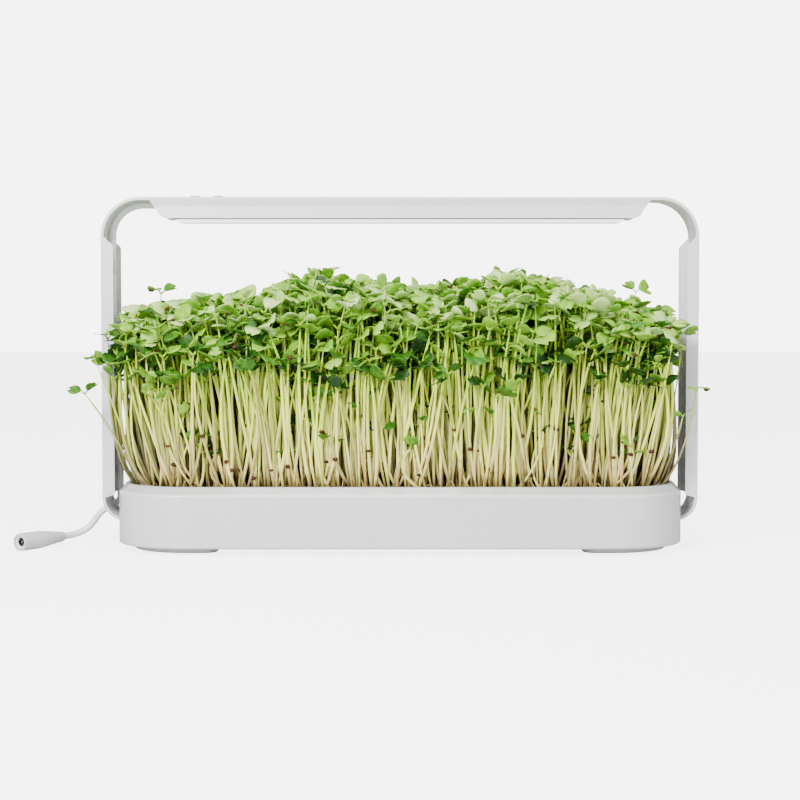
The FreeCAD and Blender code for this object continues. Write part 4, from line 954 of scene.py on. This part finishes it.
def add_mat(place, material):
    """A felt mat: its node's outline as a closed slab with a rough top and edge. The row's free ends are
    rounded as the tray is: the half width follows a circle there."""
    low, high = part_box("mat_" + place)
    u = np.linspace(-1, 1, MAT_COLUMNS)[:, None]
    v = np.linspace(-1, 1, MAT_ROWS)[None, :]
    x = (low[0] + high[0]) / 2 + u * (high[0] - low[0]) / 2 + 0 * v
    past = np.clip(np.abs(x) - (MAT_ROW_END - MAT_CORNER), 0, MAT_CORNER * 0.9999)
    half = (MAT_HALF_DEPTH - MAT_CORNER) + np.sqrt(MAT_CORNER ** 2 - past ** 2)
    y = v * half
    curl = mat_curl(x, y)
    top = np.stack([x, y, MAT_TOP - MAT_LOWER + felt_relief(x, y) + curl], -1)
    bottom = np.stack([x, y, low[2] + curl], -1)
    points = np.concatenate([top.reshape(-1, 3), bottom.reshape(-1, 3)])
    piece = make_piece("felt_" + place, points, shell_faces(MAT_COLUMNS, MAT_ROWS),
                       "tray", "felt_mat", material)
    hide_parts("mat_" + place)


def add_light(name, place, size, power):
    """Soft rectangular lamp, turned to the middle of the garden."""
    data = bpy.data.lights.new(name, "AREA")
    data.shape = "RECTANGLE"
    data.size, data.size_y = size
    data.energy = power
    lamp = bpy.data.objects.new(name, data)
    bpy.context.collection.objects.link(lamp)
    lamp.location = place
    lamp.rotation_euler = (Vector(GARDEN_MIDDLE) - lamp.location).to_track_quat("-Z", "Y").to_euler()


def add_floor():
    """Pale table top that runs far back. Its glow is seen by the camera and lights nothing."""
    mesh = bpy.data.meshes.new("floor")
    corners = [(x * FLOOR_REACH, y * FLOOR_REACH, 0) for x, y in ((-1, -1), (1, -1), (1, 1), (-1, 1))]
    mesh.from_pydata(corners, [], [(0, 1, 2, 3)])
    floor = bpy.data.objects.new("floor", mesh)
    bpy.context.collection.objects.link(floor)
    paint = Finish("floor_paint", (0.62, 0.62, 0.62), 0.8, Emission_Color=(1, 1, 1, 1)).mottle(3, 0.004)
    glow = map_range(paint.tree, seen_directly(paint.tree), 0.0, 1.0, 0.0, FLOOR_GLOW)
    paint.links.new(glow.outputs["Result"], paint.shader.inputs["Emission Strength"])
    mesh.materials.append(paint.material)


def add_surround():
    """White surround: its light grows upwards and to the front, and the camera sees it brighter."""
    world = bpy.data.worlds.new("surround")
    bpy.context.scene.world = world
    world.use_nodes = True
    tree = world.node_tree
    background = tree.nodes["Background"]
    background.inputs["Color"].default_value = (1, 1, 1, 1)
    way = tree.nodes.new("ShaderNodeSeparateXYZ")
    tree.links.new(tree.nodes.new("ShaderNodeTexCoord").outputs["Generated"], way.inputs["Vector"])
    above = map_range(tree, way.outputs["Z"], *SURROUND_RISE, SURROUND_LOW, SURROUND_HIGH)
    front = map_range(tree, way.outputs["Y"], *SURROUND_TURN, 0.0, SURROUND_FRONT)
    light = combine(tree, "ADD", above.outputs["Result"], front.outputs["Result"])
    seen = map_range(tree, seen_directly(tree), 0.0, 1.0, 0.0, SURROUND_SEEN)
    tree.links.new(light, seen.inputs["To Min"])
    tree.links.new(seen.outputs["Result"], background.inputs["Strength"])


def add_studio():
    """Pale floor, white surround and three soft lights."""
    add_floor()
    add_surround()
    for name, place, size, power in LIGHTS:
        add_light(name, place, size, power)


def main():
    add_camera()
    add_tail(vinyl().material)
    dress_nodes()
    felt_finish = felt().material
    for place in MATS:
        add_mat(place, felt_finish)
    stems, leaves = stem_skin().material, leaf_skin().material
    clinging = []
    for place in MATS:
        low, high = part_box("mat_" + place)
        clinging.append(grow_crop(place, low[0], high[0], stems, leaves))
    scatter_seeds(np.concatenate(clinging), husk_skin().material)
    add_studio()


main()
bpy.context.view_layer.update()
